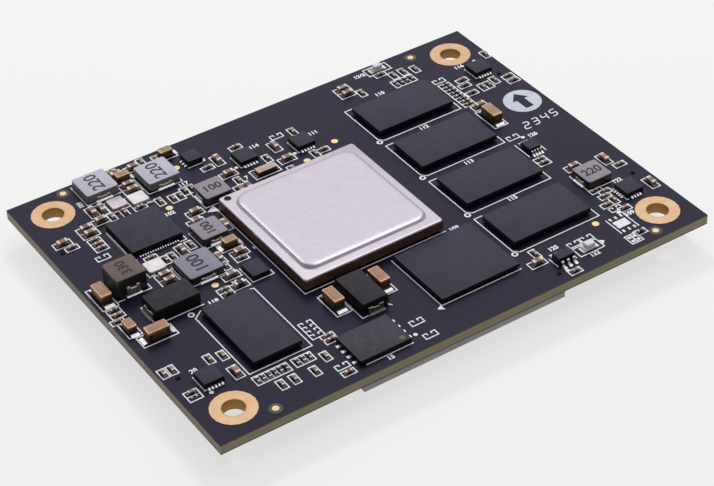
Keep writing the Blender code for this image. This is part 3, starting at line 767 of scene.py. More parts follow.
# pressed power coils; the sixth is the tall one. Each has a plain value on it
coils = {      # middle, size, turn, look, and the value with its turn and size
    "coil_1": ((-27.2, 26.7), (5.15, 5.1, 1.35), 0, "coil", ("220", 90, 2.7)),
    "coil_2": ((-18.5, 23.95), (5.15, 5.1, 1.35), 0, "coil", ("220", 90, 2.7)),
    "coil_3": ((-13.98, 15.67), (4.2, 4.25, 1.25), 90, "brownCoil", ("100", 0, 2.0)),
    "coil_4": ((-19.22, 7.78), (4.2, 4.25, 1.25), 0, "brownCoil", ("100", 90, 2.0)),
    "coil_5": ((-24.4, 1.9), (5.4, 5.35, 1.2), 0, "darkCoil", ("100", 90, 2.7)),
    "coil_6": ((-34.18, 4.91), (4.65, 4.6, 3.0), 0, "tallCoil", ("330", 90, 2.1)),
    "coil_7": ((32.37, -13.5), (4.2, 4.25, 1.25), 90, "brownCoil", ("220", 0, 2.1)),
}


def makeCoil(node, middle, size, turn, look, mark):
    length, width, height = size
    pale, tall, name = look == "coil", height > 2, node.replace("_", "")
    tallness = height - 0.015
    body = block(name + "Body", (length, width, tallness), (0, 0, tallness / 2 + 0.05))
    softEdges(roundCorners(body, 0.38), 0.14, 3)
    across, top = length * 0.42, height * 0.5
    straps, feet = strapPair(width / 2, strap=(across, 0.56 if tall else 0.36, top), soft=(0.08, 2),
                             notch=(across * 0.5, 0.8, top * 0.45), notchTop=top + 0.05,
                             foot=(across * 1.25, 0.5, 0.18), footGap=0.2, footTop=(0.94, 0.5, 0.1))
    finishStrapped(name, node, (*middle, turn), (body, straps, feet),
                   "tall_coil_body" if tall else "coil_body", look, "coilSide" if pale else "darkSide",
                   strapLook="strap", footLook="solder")
    value, valueTurn, valueSize = mark
    number = flatNumber(name + "Mark", value, *middle, height + 0.035, valueSize, valueTurn)
    finish(number, "coil_body", "mark" if pale else "darkMark")


for node, coil in coils.items():
    makeCoil(node, *coil)
print("coils done")


polymers = {
    "places": {"polymer_capacitor_1": (-31.2, -2.55, 90), "polymer_capacitor_2": (-9.5, -16.27, 0)},
    "size": (4.2, 7.0, 1.85),
    "taper": 0.24,
    "strapWidth": 2.4,
}


def makePolymer(node, place):
    name = node.replace("_c", "C").replace("_", "")
    width, length, height = polymers["size"]
    body = block(name + "Body", (width, length, height - 0.05), (0, 0, height / 2 + 0.025))
    editFaces(body, lambda centre, normal: True)
    bpy.ops.mesh.bisect(plane_co=at(0, 0, height * 0.45), plane_no=(0, 0, 1))
    leaveEdit()
    editFaces(body, lambda centre, normal: abs(normal.z) > 0.9)
    taper = polymers["taper"]
    bpy.ops.transform.resize(value=((width - taper) / width, (length - taper) / length, 1))
    leaveEdit()
    softEdges(body, 0.06, 2, 25)
    straps, feet = strapPair(length / 2, strap=(polymers["strapWidth"], 0.2, height * 0.5), soft=(0.04, 1),
                             notch=(0.9, 0.6, 0.35), notchTop=height * 0.5, foot=(2.6, 0.6, 0.12),
                             footGap=0.25, footTop=(0.95, 0.5, 0.12))
    finishStrapped(name, node, place, (body, straps, feet), "polymer_body", "polymer", "mouldSide",
                   strapLook="darkStrap", footLook="darkStrap")


for node, place in polymers["places"].items():
    makePolymer(node, place)
print("polymer capacitors done")


layeredShape = {"capShare": 0.25, "lift": 0.05, "bodyInset": -0.004, "endEdge": (0.13, 2), "bodyEdge": 0.12}
smallShape = {"capShare": 0.26, "lift": 0.0, "bodyInset": 0.012, "endEdge": (0.05, 1), "bodyEdge": 0.0}


def endedChip(name, size, reach, capShare, lift, bodyInset, endEdge, bodyEdge):
    # a ceramic body between two metal ends, and a solder wedge at each end
    length, width, height = size
    capLength, middle, rise = length * capShare, lift + height / 2, 0.1 + height * 0.14
    body = block(name + "Body", (length - capLength, width - 2 * bodyInset, height - 2 * bodyInset),
                 (0, 0, middle))
    if bodyEdge:
        softEdges(body, bodyEdge)
    ends, wedges = [], []
    for facing in (-1, 1):
        end = block(name + "End", (capLength, width, height), (facing * (length - capLength) / 2, 0, middle))
        ends.append(softEdges(end, *endEdge))
        wedge = block(name + "Solder", (reach, width * 1.08, rise),
                      (facing * (length / 2 + reach * 0.3), 0, rise / 2))
        wedges.append(slopeTop(wedge, 0.5, 0.9, -facing * 0.2 * reach))
    return body, joinAs(name + "Ends", ends), joinAs(name + "Solders", wedges)


# the larger brown capacitors and the grey bead: x, y, turn, size and family
tallSize, lowSize = (3.25, 1.65, 1.65), (2.05, 1.3, 1.25)
layered = {
    "layer_capacitor_1": (-38.2, 4.22, 90, tallSize, "brown"),
    "layer_capacitor_2": (-35.93, -6.98, 0, tallSize, "brown"),
    "layer_capacitor_3": (-13.3, -15.15, 90, tallSize, "brown"),
    "layer_capacitor_4": (-5.93, -15.2, 90, tallSize, "brown"),
    "layer_capacitor_5": (29.79, 7.14, 90, tallSize, "olive"),
    "layer_capacitor_6": (-18.13, 3.93, 0, lowSize, "olive"),
    "layer_capacitor_7": (-14.82, 28.0, 0, lowSize, "olive"),
    "layer_capacitor_8": (-22.92, 26.45, 0, lowSize, "olive"),
    "layer_capacitor_9": (-38.34, -3.77, 90, lowSize, "brown"),
    "ferrite_bead": (-4.86, 15.8, 0, (3.2, 1.35, 0.8), "bead"),
}
layeredLooks = {      # two top tones, a painted rim highlight tone, a side tone, metal, and how light the painted shade leaves the sides at the waist
    "brown": ((162, 126, 100), (172, 136, 110), (226, 176, 144), (176, 118, 80), 0.0, 0.45),
    "brownEnd": ((172, 128, 102), (182, 138, 112), (250, 204, 170), (206, 132, 86), 0.25, 0.1),
    "olive": ((158, 132, 100), (168, 142, 110), (206, 180, 146), (156, 112, 62), 0.0, 0.45),
    "oliveEnd": ((166, 138, 104), (178, 150, 116), (236, 206, 168), (184, 122, 66), 0.25, 0.16),
    "bead": ((172, 160, 156), (190, 178, 174), (226, 168, 132), (170, 92, 50), 0.0, 0.1),
}
# each family: a top finish, a painted highlight on the bevelled rims, and sides with painted shade down
# towards the board
for look, (first, second, rimHighlight, side, metal, waistShade) in layeredLooks.items():
    looks[look + "Top"] = surface(look + "Top", paint(first, second, 0.4, metal=metal, mottle=1500))
    looks[look + "Rim"] = surface(look + "Rim", paint(rimHighlight, rimHighlight, 0.24, metal=0.2))
    shadedSideLook = paint(side, side, 0.42, metal=metal, mottle=1500)
    for size, height in (("Bead", 0.8),) if look == "bead" else (("Tall", 1.65), ("Low", 1.25)):
        looks[look, height] = paintedShadeByHeight(look + size, shadedSideLook, height, 0.05, waistShade)


def runOut(size):
    # the solder before each end, which slopes away from it
    length, width, _ = size
    slopes = []
    for facing in (-1, 1):
        slope = block("runOut", (0.66, width * 0.9, 0.24), (facing * (length / 2 + 0.5), 0, 0.12))
        outer, upper = (length / 2 + 0.7) * mm, at(0, 0, 0.2).z
        editEdges(slope, lambda a, b: min(a.z, b.z) > upper and min(facing * a.x, facing * b.x) > outer)
        bpy.ops.transform.translate(value=(0, 0, -0.2 * mm))
        leaveEdit()
        slopes.append(slope)
    return joinAs("runOuts", slopes)


for node, (x, y, turn, size, family) in layered.items():
    name = node.replace("_c", "C").replace("_", "")
    body, ends, fillets = endedChip(name, size, reach=0.6, **layeredShape)
    place, bead = [(x, y, turn)], family == "bead"
    for part, kind in ((body, "Body"), (ends, "Ends")):
        look = family + ("End" if kind == "Ends" and not bead else "")
        finish(pattern(part, name + kind, place), "grey_ceramic" if bead else "brown_ceramic", look + "Top",
               look + "Rim", looks[look, size[2]], stands=node, where=topRimSide)
    finish(pattern(fillets, name + "Fillets", place), "crystal_metal", "shadedFilletSolder")
    if not bead:
        finish(pattern(runOut(size), name + "Pads", place), "crystal_metal", "pads")
print("layered capacitors done")


smallSizes = {"tiny": (1.0, 0.5, 0.5), "flat": (1.0, 0.5, 0.35), "small": (1.6, 0.8, 0.75)}
smallPlaces = {      # by size, colour and turn: 0 lies along x, 90 along y
    "tiny": {
        "brown": {0: [(29.15, -5.6), (-36.4, 16.5), (-24.0, 19.05), (-23.5, 29.05), (4.9, 15.35),
                      (22.9, 26.8), (32.2, 18.0), (38.6, 14.7), (38.6, 13.3), (37.7, -13.35), (31.85, -17.2),
                      (30.05, -19.9), (-28.5, 7.95), (-38.0, -19.45), (-33.05, 16.1), (-33.05, 15.03),
                      (-33.05, 13.96)],
                  90: [(-28.4, 19.5), (-21.05, 18.6), (-9.25, 16.2), (3.7, 22.0), (24.4, 25.4), (26.2, 25.4),
                       (39.4, 21.75), (36.25, 15.1), (31.55, -19.45), (-39.1, -14.1), (-30.95, -15.5),
                       (-20.1, -23.6), (-16.35, 28.0)]},
        "grey": {0: [(-11.3, 21.6), (31.7, 16.6), (31.4, 14.3), (29.15, -6.6), (31.1, -18.15), (17.15, -28.9),
                     (-38.25, 0.9), (-38.9, -1.4), (-23.9, -4.1), (-23.9, -5.1), (-17.7, -20.4),
                     (-18.3, 0.45)],
                 90: [(-26.4, 19.4), (-3.0, 18.45), (3.4, 15.2), (28.15, 24.9), (14.95, -22.7), (-27.0, 6.4),
                      (-25.9, 6.5), (-22.55, 7.3), (-32.8, -15.1), (-27.65, -24.9), (-25.75, -24.95),
                      (-22.75, -25.2), (-18.55, 28.7), (-21.0, 0.4), (-1.4, 13.9), (-37.8, -14.1),
                      (33.7, 14.6), (34.8, 14.6)]},
        "rose": {0: [(-5.35, 23.6), (31.6, -21.95), (-19.4, -28.0), (-38.25, -0.25), (-17.7, -21.3)],
                 90: [(17.75, 24.3), (-19.15, 18.1), (-18.0, 18.1), (-16.9, 18.65), (-15.75, 18.65)]},
        "black": {0: [(29.85, -27.4)], 90: []},
    },
    "flat": {
        "black": {90: ([(23.4 + 0.95 * index, 23.2) for index in range(4)]
                       + [(-29.8 + 0.87 * index, -22.4) for index in range(6)]
                       + [(-23.75 + 0.95 * index, -22.4) for index in range(3)]),
                  0: [(29.25, 18.45 - 0.9 * index) for index in range(8)]},
    },
    "small": {
        "brown": {0: [(-37.1, 18.0), (-32.85, 17.75), (-30.2, 19.55), (-22.95, 23.3), (-9.65, 18.4),
                      (-0.7, 16.5), (15.8, 25.3), (-18.3, 13.3), (-28.95, 2.0), (30.2, 10.7), (14.0, -24.55),
                      (31.8, -10.0)],
                  90: [(-30.2, 22.1), (-9.2, 22.35), (-16.35, 8.3), (-31.25, -19.35), (36.65, -11.05),
                       (-10.2, 13.9)]},
        "grey": {0: [(-32.85, 19.1), (15.85, 26.8), (-19.25, 11.3), (-21.5, -2.0)],
                 90: [(-28.8, 21.9), (-0.55, 20.25), (-24.15, 6.85), (38.45, -19.45), (-8.95, 14.0)]},
        "rose": {0: [(-22.95, 24.7), (-23.2, 27.95), (-20.25, 28.1), (-17.9, 1.7), (-28.95, 3.4)],
                 90: [(-20.9, 2.25)]},
        "black": {0: [(-21.6, -4.45)], 90: []},
    },
}


def scatterChips(kind, byColour):
    # bodies by colour, and the ends and solder of all of them
    _, width, height = smallSizes[kind]
    body, ends, wedges = endedChip(kind, smallSizes[kind], reach=0.28 * width + 0.06, **smallShape)
    # the sides of the bodies and ends carry painted shade, darker down towards the board
    shadedEndSide = paintedShadeByHeight(kind + "EndSide", finishes["paleEnd"], height, 0.12, 0.5)
    everywhere = []
    for colour, turns in byColour.items():
        places = [(x, y, turn) for turn, spots in turns.items() for x, y in spots]
        shadedBodySide = paintedShadeByHeight(kind + colour.title() + "Side", finishes[colour + "Chip"], height, 0.12, 0.5)
        bodies = joinAs(kind + colour.title() + "Bodies", copyTo(body, places))
        finish(bodies, "brown_ceramic", colour + "Chip", shadedBodySide, stands="circuit_board", where=onSide)
        everywhere += places
    finish(joinAs(kind + "Ends", copyTo(ends, everywhere)), "crystal_metal", "paleEnd", shadedEndSide,
           stands="circuit_board", where=onSide)
    finish(joinAs(kind + "Solder", copyTo(wedges, everywhere)), "crystal_metal", "dullSolder")
    for master in (body, ends, wedges):
        bpy.data.objects.remove(master)


for kind, byColour in smallPlaces.items():
    scatterChips(kind, byColour)
print("small parts done")


# crystals: x, y, length, width and lid
crystals = {
    "crystal_1": (-26.47, 21.6, 2.5, 2.65, "softLid"),
    "crystal_2": (-23.38, 20.86, 2.75, 2.65, "brightLid"),
    "crystal_3": (-29.17, 5.8, 2.75, 2.65, "brightLid"),
}
lidInset = 0.16
for node, (x, y, length, width, look) in crystals.items():
    name = node.replace("_", "")
    tray = block(name + "Tray", (length, width, 0.25), (x, y, 0.175))
    finish(softEdges(tray, 0.04, 1), "crystal_metal", "traySide", stands=node)
    can = block(name + "Lid", (length - lidInset, width - lidInset, 0.27), (x, y, 0.415))
    finish(softEdges(roundCorners(can, 0.3), 0.05), "crystal_metal", look, stands=node)
    corners = [(x + sx * length * 0.36, y + sy * width * 0.5) for sx in (-1, 1) for sy in (-1, 1)]
    pad = crown(block("crystalPad", (0.75, 0.4, 0.08), (0, 0, 0.04)), 0.08, 0.04)
    finish(pattern(pad, name + "Pads", corners), "crystal_metal", "solder")

# lamps: x, y, base, lens and how round the lens is
lamps = {
    "lamp_1": (23.35, 28.35, "greenBase", "milkyLens", 0.28),
    "lamp_2": (21.85, -25.95, "whiteBody", "paleLens", 0.18),
}
lampShape = {"base": (2.0, 1.25, 0.35), "lens": (1.55, 1.22, 0.6), "pad": (0.75, 1.25, 0.12), "padStep": 1.05}
for node, (x, y, base, lens, edge) in lamps.items():
    name = node.replace("_", "")
    foot = block(name + "Base", lampShape["base"], (x, y, 0.225))
    finish(softEdges(foot, 0.04, 1), "lamp_base", base, stands=node + "_base")
    dome = slopeTop(block(name + "Lens", lampShape["lens"], (x, y, 0.74)), 0.92, 0.92)
    finish(softEdges(dome, edge, 5), "lamp_lens", lens, stands=node + "_lens")
    pad = softEdges(block("lampPad", lampShape["pad"], (0, 0, 0.06)), 0.05, 1)
    places = [(x - lampShape["padStep"], y), (x + lampShape["padStep"], y)]
    finish(pattern(pad, name + "Pads", places), "crystal_metal", "solder")

footprint = {
    "pads": [(x, y) for y in (-22.9, -25.9) for x in (28.15, 29.1, 30.05)],
    "middle": (29.05, -24.35, 2.2, 1.55),
    "upright": [(27.75, -28.0), (28.7, -28.0)],      # two empty small places
}
pad = softEdges(block("barePad", (0.36, 0.62, 0.05), (0, 0, 0.025)), 0.02, 1)
pads = pattern(pad, "barePads", footprint["pads"])
x, y, length, width = footprint["middle"]
thermal = crown(block("thermalPad", (length, width, 0.04), (x, y, 0.02)), 0.18, 0.03)
square = crown(block("smallBarePad", (0.5, 0.5, 0.03), (0, 0, 0.015)), 0.06, 0.02)
squares = pattern(square, "smallBarePads",
                  [(x, y + side * 0.45) for x, y in footprint["upright"] for side in (-1, 1)])
finish(joinAs("emptyFootprint", [pads, thermal, squares]), "crystal_metal", "solder")
print("crystals and lamps done")


# the white print is gathered as strokes first, and made at the end
ink = {"width": 0.185, "height": 0.02, "parts": []}


def path(*points, width=ink["width"]):
    for (x1, y1), (x2, y2) in zip(points, points[1:]):
        ink["parts"].append((x1, y1, x2, y2, width))


def sidesOf(x, y, length, width):
    return x - length / 2, x + length / 2, y - width / 2, y + width / 2


def boxed(x, y, length, width):
    left, right, front, back = sidesOf(x, y, length, width)
    right = min(right, 39.87)      # stops short of the board's edge
    path((left, front), (right, front), (right, back), (left, back), (left, front))


def bracket(x, y):
    # an unused place: open in the middle of its far side, with short hooks
    left, right, front, back = sidesOf(x, y, 1.95, 1.0)
    path((x - 0.35, back - 0.3), (x - 0.35, back), (left, back), (left, front), (right, front), (right, back),
         (x + 0.35, back), (x + 0.35, back - 0.3))


printing = {
    "frames": {"tiny": (1.95, 1.05), "small": (2.65, 1.4)},
    "rowBoxes": [(24.87, 23.2, 3.85, 2.0), (-27.62, -22.4, 5.25, 1.8), (-22.8, -22.4, 2.95, 1.8)],
    "barWidth": 0.1,
    "bars": [((-29.36, -28.49, -27.63, -26.75, -26.31, -23.27, -22.32), -23.3, -21.5),
             ((23.87, 24.82, 25.77), 22.2, 24.2)],      # where they stand, and their two ends
    "brackets": [(-33.9, 12.0), (-19.4, -26.5), (-6.5, -24.9), (-6.5, -28.1), (1.1, 22.4), (29.2, 19.95),
                 (29.3, 1.2), (30.9, -16.3), (30.5, -21.25), (20.7, -24.15), (22.9, -24.15), (-38.0, -20.45)],
    "ladder": {"left": -19.68, "right": -17.72, "back": -16.15, "pitch": 0.93, "rung": 0.62, "hook": 0.3},
    "outlines": [
        [(-15.37, 13.0), (-15.37, -11.25), (-10.7, -11.25)], [(-6.2, -11.25), (8.0, -11.25)],
        *[[(14.2, y + 4.85), (12.87, y + 4.85), (12.87, y - 4.1), (13.65, y - 4.85), (27.6, y - 4.85),
           (27.6, y - 2.95)] for x, y in packages["column"]],
        [(-23.0, -5.95), (-28.7, -5.95), (-30.05, -6.95), (-30.05, -20.75), (-20.35, -20.75), (-20.35, -6.1),
         (-20.8, -5.95)],
        [(-1.85, -12.3), (-1.85, -24.15), (11.5, -24.15)], [(-16.6, -28.1), (-9.3, -28.1)],
        [(-22.3, 9.6), (-22.3, 8.75), (-23.3, 8.75)], [(-31.15, 9.6), (-31.15, 8.75), (-30.3, 8.75)],
        [(-29.95, 29.2), (-29.95, 23.95), (-24.4, 23.95)],
        [(-21.45, 26.5), (-21.45, 21.1), (-15.9, 21.1), (-15.9, 22.6)],
        [(-16.5, 17.9), (-16.5, 13.35), (-11.6, 13.35)], [(-21.45, 9.7), (-21.45, 5.2), (-17.1, 5.2)],
        [(-27.3, 4.4), (-27.3, -0.95), (-21.5, -0.95)], [(-37.0, 2.2), (-35.8, 2.2)],
        [(-33.0, 2.2), (-31.65, 2.2), (-31.65, 3.4)], [(30.0, -11.4), (30.0, -15.9), (34.7, -15.9)],
        [(-27.6, -5.0), (-33.4, -5.0)], [(-34.95, -4.2), (-34.95, -0.7), (-34.3, -0.65)],
        [(-11.9, -12.6), (-11.9, -20.1), (-11.0, -20.1)], [(-7.4, -19.65), (-7.15, -20.05)],
        [(-27.95, 23.1), (-27.95, 20.2), (-25.0, 20.2)], [(-24.95, 22.3), (-24.95, 19.3), (-21.8, 19.3)],
        [(-30.75, 5.9), (-30.75, 4.3), (-29.9, 4.3)], [(27.55, -26.1), (27.55, -22.7)],
        [(30.65, -26.1), (30.65, -22.7)],
    ],
    "boxes": [(23.35, 28.35, 4.1, 2.0), (21.8, -25.95, 4.1, 2.0), (-38.25, 4.22, 2.4, 5.15),
              (-35.95, -7.0, 5.2, 2.4), (-13.3, -15.4, 2.35, 5.0), (-5.95, -15.4, 2.35, 5.0),
              (29.75, 7.1, 2.35, 5.1), (-18.2, 3.95, 3.3, 1.9), (-14.8, 28.0, 3.1, 1.9),
              (-22.95, 26.45, 3.0, 1.8), (-38.3, -3.7, 1.95, 3.4), (-4.85, 15.95, 4.25, 2.3)],
    "chipMarks": [
        [(-19.75, -1.3), (-19.75, -4.95), (-16.4, -4.95), (-16.4, -4.0)],
        *[[(x - 1.6, y + 1.5), (x - 1.6, y - 1.65), (x - 1.3, y - 1.65)]
          for x, y in ((-5.7, 20.3), (3.17, 18.55), (35.9, 18.75), (-34.75, -18.45), (34.75, -18.9))],
        [(-13.6, 23.25), (-11.3, 23.25)], [(28.3, -0.6), (28.3, -4.1)], [(31.35, -0.6), (31.35, -4.1)],
        [(15.85, -24.8), (15.85, -26.7)], [(19.1, -24.8), (19.1, -26.7)],
    ],
}
for kind, (length, width) in printing["frames"].items():
    for turns in smallPlaces[kind].values():
        for x, y in turns[0]:
            boxed(x, y, length, width)
        for x, y in turns[90]:
            boxed(x, y, width, length)
for x, y in smallPlaces["flat"]["black"][0]:
    boxed(x, y, 1.95, 0.9)
for box in printing["rowBoxes"]:
    boxed(*box)
for places, front, back in printing["bars"]:
    for x in places:
        path((x, front), (x, back), width=printing["barWidth"])
for x, y in printing["brackets"]:
    bracket(x, y)
ladder = printing["ladder"]
levels = [ladder["back"] - index * ladder["pitch"] for index in range(5)]
path((ladder["left"], levels[0]), (ladder["left"], levels[4]), (ladder["right"], levels[4]),
     (ladder["right"], levels[0]))
for y in levels[:4]:
    for end, inward in ((ladder["left"], ladder["rung"]), (ladder["right"], -ladder["rung"])):
        path((end, y), (end + inward, y), (end + inward, y - ladder["hook"]))
for x, y in footprint["upright"]:
    boxed(x, y, 1.0, 1.9)
for points in printing["outlines"]:
    path(*points)
for box in printing["boxes"]:
    boxed(*box)
for points in printing["chipMarks"]:
    path(*points)


bigNumber = {"digits": "2345", "first": (32.9, 2.5), "step": (1.75, 0.1), "size": (0.95, 1.55), "lean": 0.22,
             "gap": 0.14, "line": 0.2}


def segmentDigit(digit, x, y):
    # seven bars: top, upper right, lower right, bottom, lower left, upper left, middle
    left, right, bottom, top = sidesOf(x, y, *bigNumber["size"])
    gap, lean = bigNumber["gap"], bigNumber["lean"]
    ends = {
        "a": (left + gap, top, right - gap, top), "b": (right, top - gap, right, y + gap),
        "c": (right, y - gap, right, bottom + gap), "d": (left + gap, bottom, right - gap, bottom),
        "e": (left, y - gap, left, bottom + gap), "f": (left, top - gap, left, y + gap),
        "g": (left + gap, y, right - gap, y),
    }
    for bar in {"2": "abged", "3": "abgcd", "4": "fgbc", "5": "afgcd"}[digit]:
        x1, y1, x2, y2 = ends[bar]
        path((x1 + (y1 - y) * lean, y1), (x2 + (y2 - y) * lean, y2), width=bigNumber["line"])


(firstX, firstY), (stepX, stepY) = bigNumber["first"], bigNumber["step"]
for index, digit in enumerate(bigNumber["digits"]):
    segmentDigit(digit, firstX + stepX * index, firstY + stepY * index)


def printStrokes():
    master = slopeTop(block("inkStroke", (1, 1, ink["height"]), (0, 0, ink["height"] / 2)), 1, 0.9)
    places = []
    for index, (x1, y1, x2, y2, width) in enumerate(ink["parts"]):
        lift = (index % 24) * 0.0006      # each a hair higher, so strokes that cross don't share a face
        places.append(((x1 + x2) / 2, (y1 + y2) / 2, math.degrees(math.atan2(y2 - y1, x2 - x1)), lift,
                       (math.hypot(x2 - x1, y2 - y1) + width * 0.9, width, 1)))
    return pattern(master, "printLines", places)


def printTriangle(x, y, length, width, turn):
    # a thin slab drawn to a point at one end; x and y are the middle of its other end
    wedge = block("printTriangle", (length, width, 0.02), (length / 2, 0, 0.01))
    editFaces(wedge, lambda centre, normal: normal.x > 0.9)
    bpy.ops.transform.resize(value=(1, 0, 1))
    mergeTips()
    return pattern(wedge, "printTriangle", [(x, y, turn)])


marks = {
    "triangles": [(-16.0, 12.0, 1.4, 1.8, 65), (-2.35, -24.2, 0.95, 1.0, 300), (21.0, 28.35, 0.65, 1.1, 180),
                  (24.0, -25.95, 0.65, 1.1, 0), (-15.8, 1.5, 0.5, 0.8, 0)],
    "rings": [(12.72, y - 4.85) for x, y in packages["column"]] + [(-30.15, -5.95)],
    "dots": [(-7.8, 19.2), (1.05, 17.1), (-10.8, 23.7), (-35.8, -20.8), (30.55, 0.4), (36.95, 21.3),
             (30.25, -22.2), (-8.1, -26.9), (16.4, -28.1)],
    "numbers": [("101", -30.7, 24.75, 90), ("102", -21.3, 15.3, 0), ("117", -16.2, 20.3, 0),
                ("114", -3.0, 22.2, 0), ("7", -7.9, 16.2, 0), ("111", 6.0, 19.9, 0), ("124", 19.9, 28.4, 0),
                ("110", 19.9, 22.5, 0), ("116", 34.0, 21.3, 0), ("112", 20.2, 11.2, 0), ("113", 20.4, 0.1, 0),
                ("115", 20.2, -10.7, 0), ("126", 32.1, 0.1, 0), ("118", -26.3, -5.3, 0),
                ("19", -21.8, -3.5, 0), ("20", -35.6, -15.9, 0), ("15", -13.3, -28.75, 0),
                ("103", 9.4, -11.45, 0), ("125", 17.8, -23.2, 0), ("132", 21.7, -27.5, 0),
                ("109", 31.4, -23.2, 0), ("122", 34.9, -16.2, 0)],      # plain numbers: text, x, y, turn
    "numberSize": 1.08,
}
pinRing = cutWith(rod("printRing", 0.5, 0.02, (0, 0, 0.01), 24), rod("ringCutter", 0.24, 1, (0, 0, 0), 20))
spot = crown(rod("printDot", 0.3, 0.015, (0, 0, 0.0075), 20), 0.06, 0.004)
printed = [printStrokes()] + [printTriangle(*triangle) for triangle in marks["triangles"]]
for master, places in ((pinRing, marks["rings"]), (spot, marks["dots"])):
    printed.append(pattern(master, "printSpots", places))
for text, x, y, turn in marks["numbers"]:
    printed.append(flatNumber("printNumber", text, x, y, 0.01, marks["numberSize"], turn))
finish(joinAs("whitePrint", printed), "lamp_base", "print")

sign = {"middle": (36.3, 8.05), "radius": 2.95, "shaft": (1.4, 2.4, 0.03), "shaftDown": 0.75, "barbs": 2.07,
        "tip": 1.75}
x, y = sign["middle"]
disc = rod("signDisc", sign["radius"], 0.016, (x, y, 0.008), 64)
finish(crown(disc, 0.06, 0.004), "lamp_base", "discInk")
arrow = block("signArrow", sign["shaft"], (x, y - sign["shaftDown"], sign["shaft"][2] / 2))
editFaces(arrow, lambda centre, normal: normal.y > 0.9)
drawOut(0, 0, 0, (sign["barbs"], 1, 1))
drawOut(0, sign["tip"], 0, (0, 1, 1))
mergeTips()
finish(arrow, "board_laminate", solderMask)
print("print done:", len(ink["parts"]), "strokes")


connectors = {
    "places": [(-0.45, -25.55, 0), (-0.45, 25.55, 180), (-34.55, 0.0, 90), (34.55, 0.0, 270)],
    "pitch": 0.5,
    "perRow": 50,
    "walls": (0.87, 1.68),      # of the tongue, and of the slots' outer side
    "shade": [(0.22, (1.0, 1.0, 1.0)), (0.36, (0.5, 0.5, 0.5))],
    "tails": tone(236, 228, 226),
    "tailBottom": 3.065,
}


def housingMaterial():
    # plastic housing with painted shade that darkens it up towards the board, with tinned tails told apart by
    # their height
    material = surface("connectorHousing", finishes["housing"])
    height = rise(material, 0.0, boardBottom)
    isTail = mathNode(material, "GREATER_THAN", height, connectors["tailBottom"] / boardBottom)
    shade = ramp(material, height, connectors["shade"])
    shaded = blend(material, 1.0, ownColour(material), shade, "MULTIPLY")
    return paintShader(material, {"Base Color": blend(material, isTail, shaded, connectors["tails"]),
                                  "Metallic": isTail})


dressSolids("connector_", housingMaterial())

# gold contacts on both faces of the tongue and on the outer walls of the slots
thick, run, lowest = 0.04, 1.9, 0.25
contact = block("contactStrip", (0.24, thick, run), (0, 0, -boardTop + lowest + run / 2))
editFaces(contact, lambda centre, normal: normal.z < -0.9)
drawOut(0, 0, -0.1, (0.6, 0.5, 1))      # a narrowed lead-in at the mating end
leaveEdit()
tiles = [((index - (connectors["perRow"] - 1) / 2) * connectors["pitch"], side * wall)
         for side in (-1, 1) for wall in connectors["walls"] for index in range(connectors["perRow"])]
contactRows = pattern(contact, "contactRows", tiles)
finish(pattern(contactRows, "connectorContacts", connectors["places"]), "gold_plating", "contact")

underside = {
    "chips": [(-3.65 + 2.4 * (column - 1.5), 0.45 + 2.4 * (row - 1.0), 90)
              for column in range(4) for row in range(3)],
    "outline": (0, 0, 35.3, 8.2),
    "firstContact": (-13.5, 5.6, 0.8, 1.0, 270),
    "marks": [("1", -15.2, 5.3), ("100", 15.0, 5.3)],
    "places": [(0.45, -25.55, 0), (0.45, 25.55, 180), (34.55, 0.0, 90), (-34.55, 0.0, 270)],
    "testPoints": [(-18, 14), (-14, 14), (-10, 14), (12, -12), (15, -12), (18, -12), (-16, -13), (16, 14)],
}
boardMiddle = at(0, 0, -board["size"][2] / 2)
underParts = endedChip("under", smallSizes["tiny"], reach=0.28, **smallShape)
for part, name, slot, look in zip(underParts, ("underBodies", "underEnds", "underSolder"),
                                  ("brown_ceramic", "crystal_metal", "crystal_metal"),
                                  ("brownChip", "paleEnd", "solder")):
    pick(part)
    bpy.ops.transform.mirror(constraint_axis=(False, False, True), center_override=boardMiddle)
    freeze(part)
    editFaces(part, lambda centre, normal: True)
    bpy.ops.mesh.normals_make_consistent(inside=False)
    leaveEdit()
    finish(pattern(part, name, underside["chips"]), slot, look, stands="circuit_board")

# outlines and first-contact marks round the connectors, and a few test points
ink["parts"] = []
boxed(*underside["outline"])
underMarks = [printStrokes(), printTriangle(*underside["firstContact"])]
for text, x, y in underside["marks"]:
    underMarks.append(flatNumber("contactNumber", text, x, y, 0.01, 1.4, 0, 0.04))
underPoints = pattern(goldDot(0.5), "underTestPoints", underside["testPoints"])
underPrint = pattern(joinAs("underPrint", underMarks), "underPrint", underside["places"])
for part, slot, look in ((underPrint, "lamp_base", "print"), (underPoints, "gold_plating", "brightGold")):
    pick(part)
    bpy.ops.transform.rotate(value=math.pi, orient_axis="Y", center_override=boardMiddle)
    freeze(part)
    finish(part, slot, look)
print("underside done")


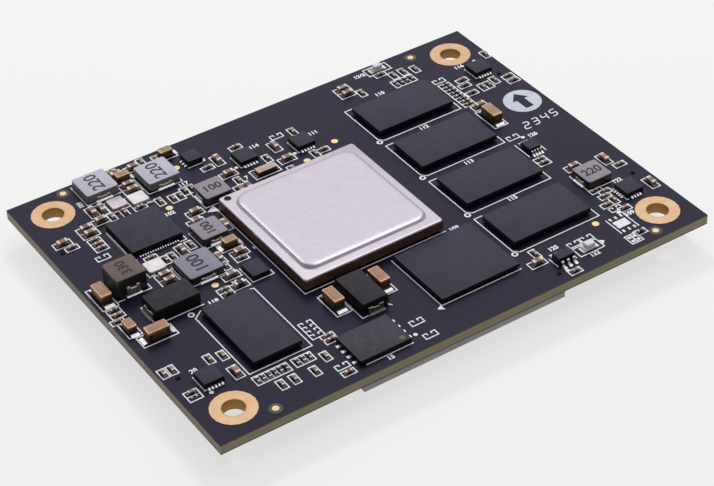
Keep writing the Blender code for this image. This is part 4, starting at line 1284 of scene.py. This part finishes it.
# a pale paper floor with a curved sweep, which shows bright to the camera but keeps its shadow
floorLook = {"size": 6, "sweep": [(1.06, 0.02), (1.045, 0.06), (1.03, 0.12), (1.015, 0.18), (1.0, 0.5)],
             "lit": 0.86, "seen": 0.235, "glow": 0.675}
pick()
bpy.ops.mesh.primitive_plane_add(size=floorLook["size"], location=(0, 0, 0))
floor = bpy.context.object
floor.name = "floor"
editEdges(floor, lambda a, b: True)
for grow, lift in floorLook["sweep"]:
    bpy.ops.mesh.extrude_edges_move(TRANSFORM_OT_translate={"value": (0, 0, lift)})
    bpy.ops.transform.resize(value=(grow, grow, 1))
bpy.ops.mesh.select_all(action="SELECT")
bpy.ops.mesh.normals_make_consistent(inside=True)
leaveEdit()
paper = bpy.data.materials.new("paleFloor")
paper.use_nodes = True
rays = addNode(paper, "LightPath", {}).node.outputs
seen = mathNode(paper, "ADD", rays["Is Camera Ray"], rays["Is Glossy Ray"])
shown = mathNode(paper, "ADD", seen, rays["Is Transmission Ray"], use_clamp=True)
paintShader(paper, {
    "Base Color": blend(paper, shown, [floorLook["lit"]] * 3, [floorLook["seen"]] * 3),
    "Emission Color": (1.0, 1.0, 1.0),
    "Emission Strength": mathNode(paper, "MULTIPLY", shown, floorLook["glow"]),
    "Roughness": 0.9,
    "Specular IOR Level": 0.0,
})
floor.data.materials.append(paper)

lights = {      # each looks at the object; the key leaves no mirror image
    "keyLight": {"place": (0.213, 0.391, 0.401), "size": 0.09, "power": 1.55, "glossy": False},
    "softbox": {"place": (0.30, 0.48, 0.62), "size": 1.0, "power": 2.45, "glossy": True},
    "topBox": {"place": (0.274, -0.03, 0.6), "size": 0.5, "power": 0.94, "glossy": True},
    "sideBox": {"place": (-0.16, 0.46, 0.48), "size": 0.22, "power": 0.3, "glossy": True},
}
for name, light in lights.items():
    bpy.ops.object.light_add(type="AREA", location=light["place"])
    made = bpy.context.object
    made.name = name
    made.data.shape = "SQUARE"
    made.data.size = light["size"]
    made.data.energy = light["power"]
    made.rotation_euler = (-Vector(light["place"])).to_track_quat("-Z", "Y").to_euler()
    made.visible_glossy = light["glossy"]

skyStrength = 0.22
world = bpy.data.worlds.new("studio")
scene.world = world
world.use_nodes = True
sky = world.node_tree.nodes["Background"]
sky.inputs["Color"].default_value = (1.0, 1.0, 1.0, 1)
sky.inputs["Strength"].default_value = skyStrength
print("stage and light done")
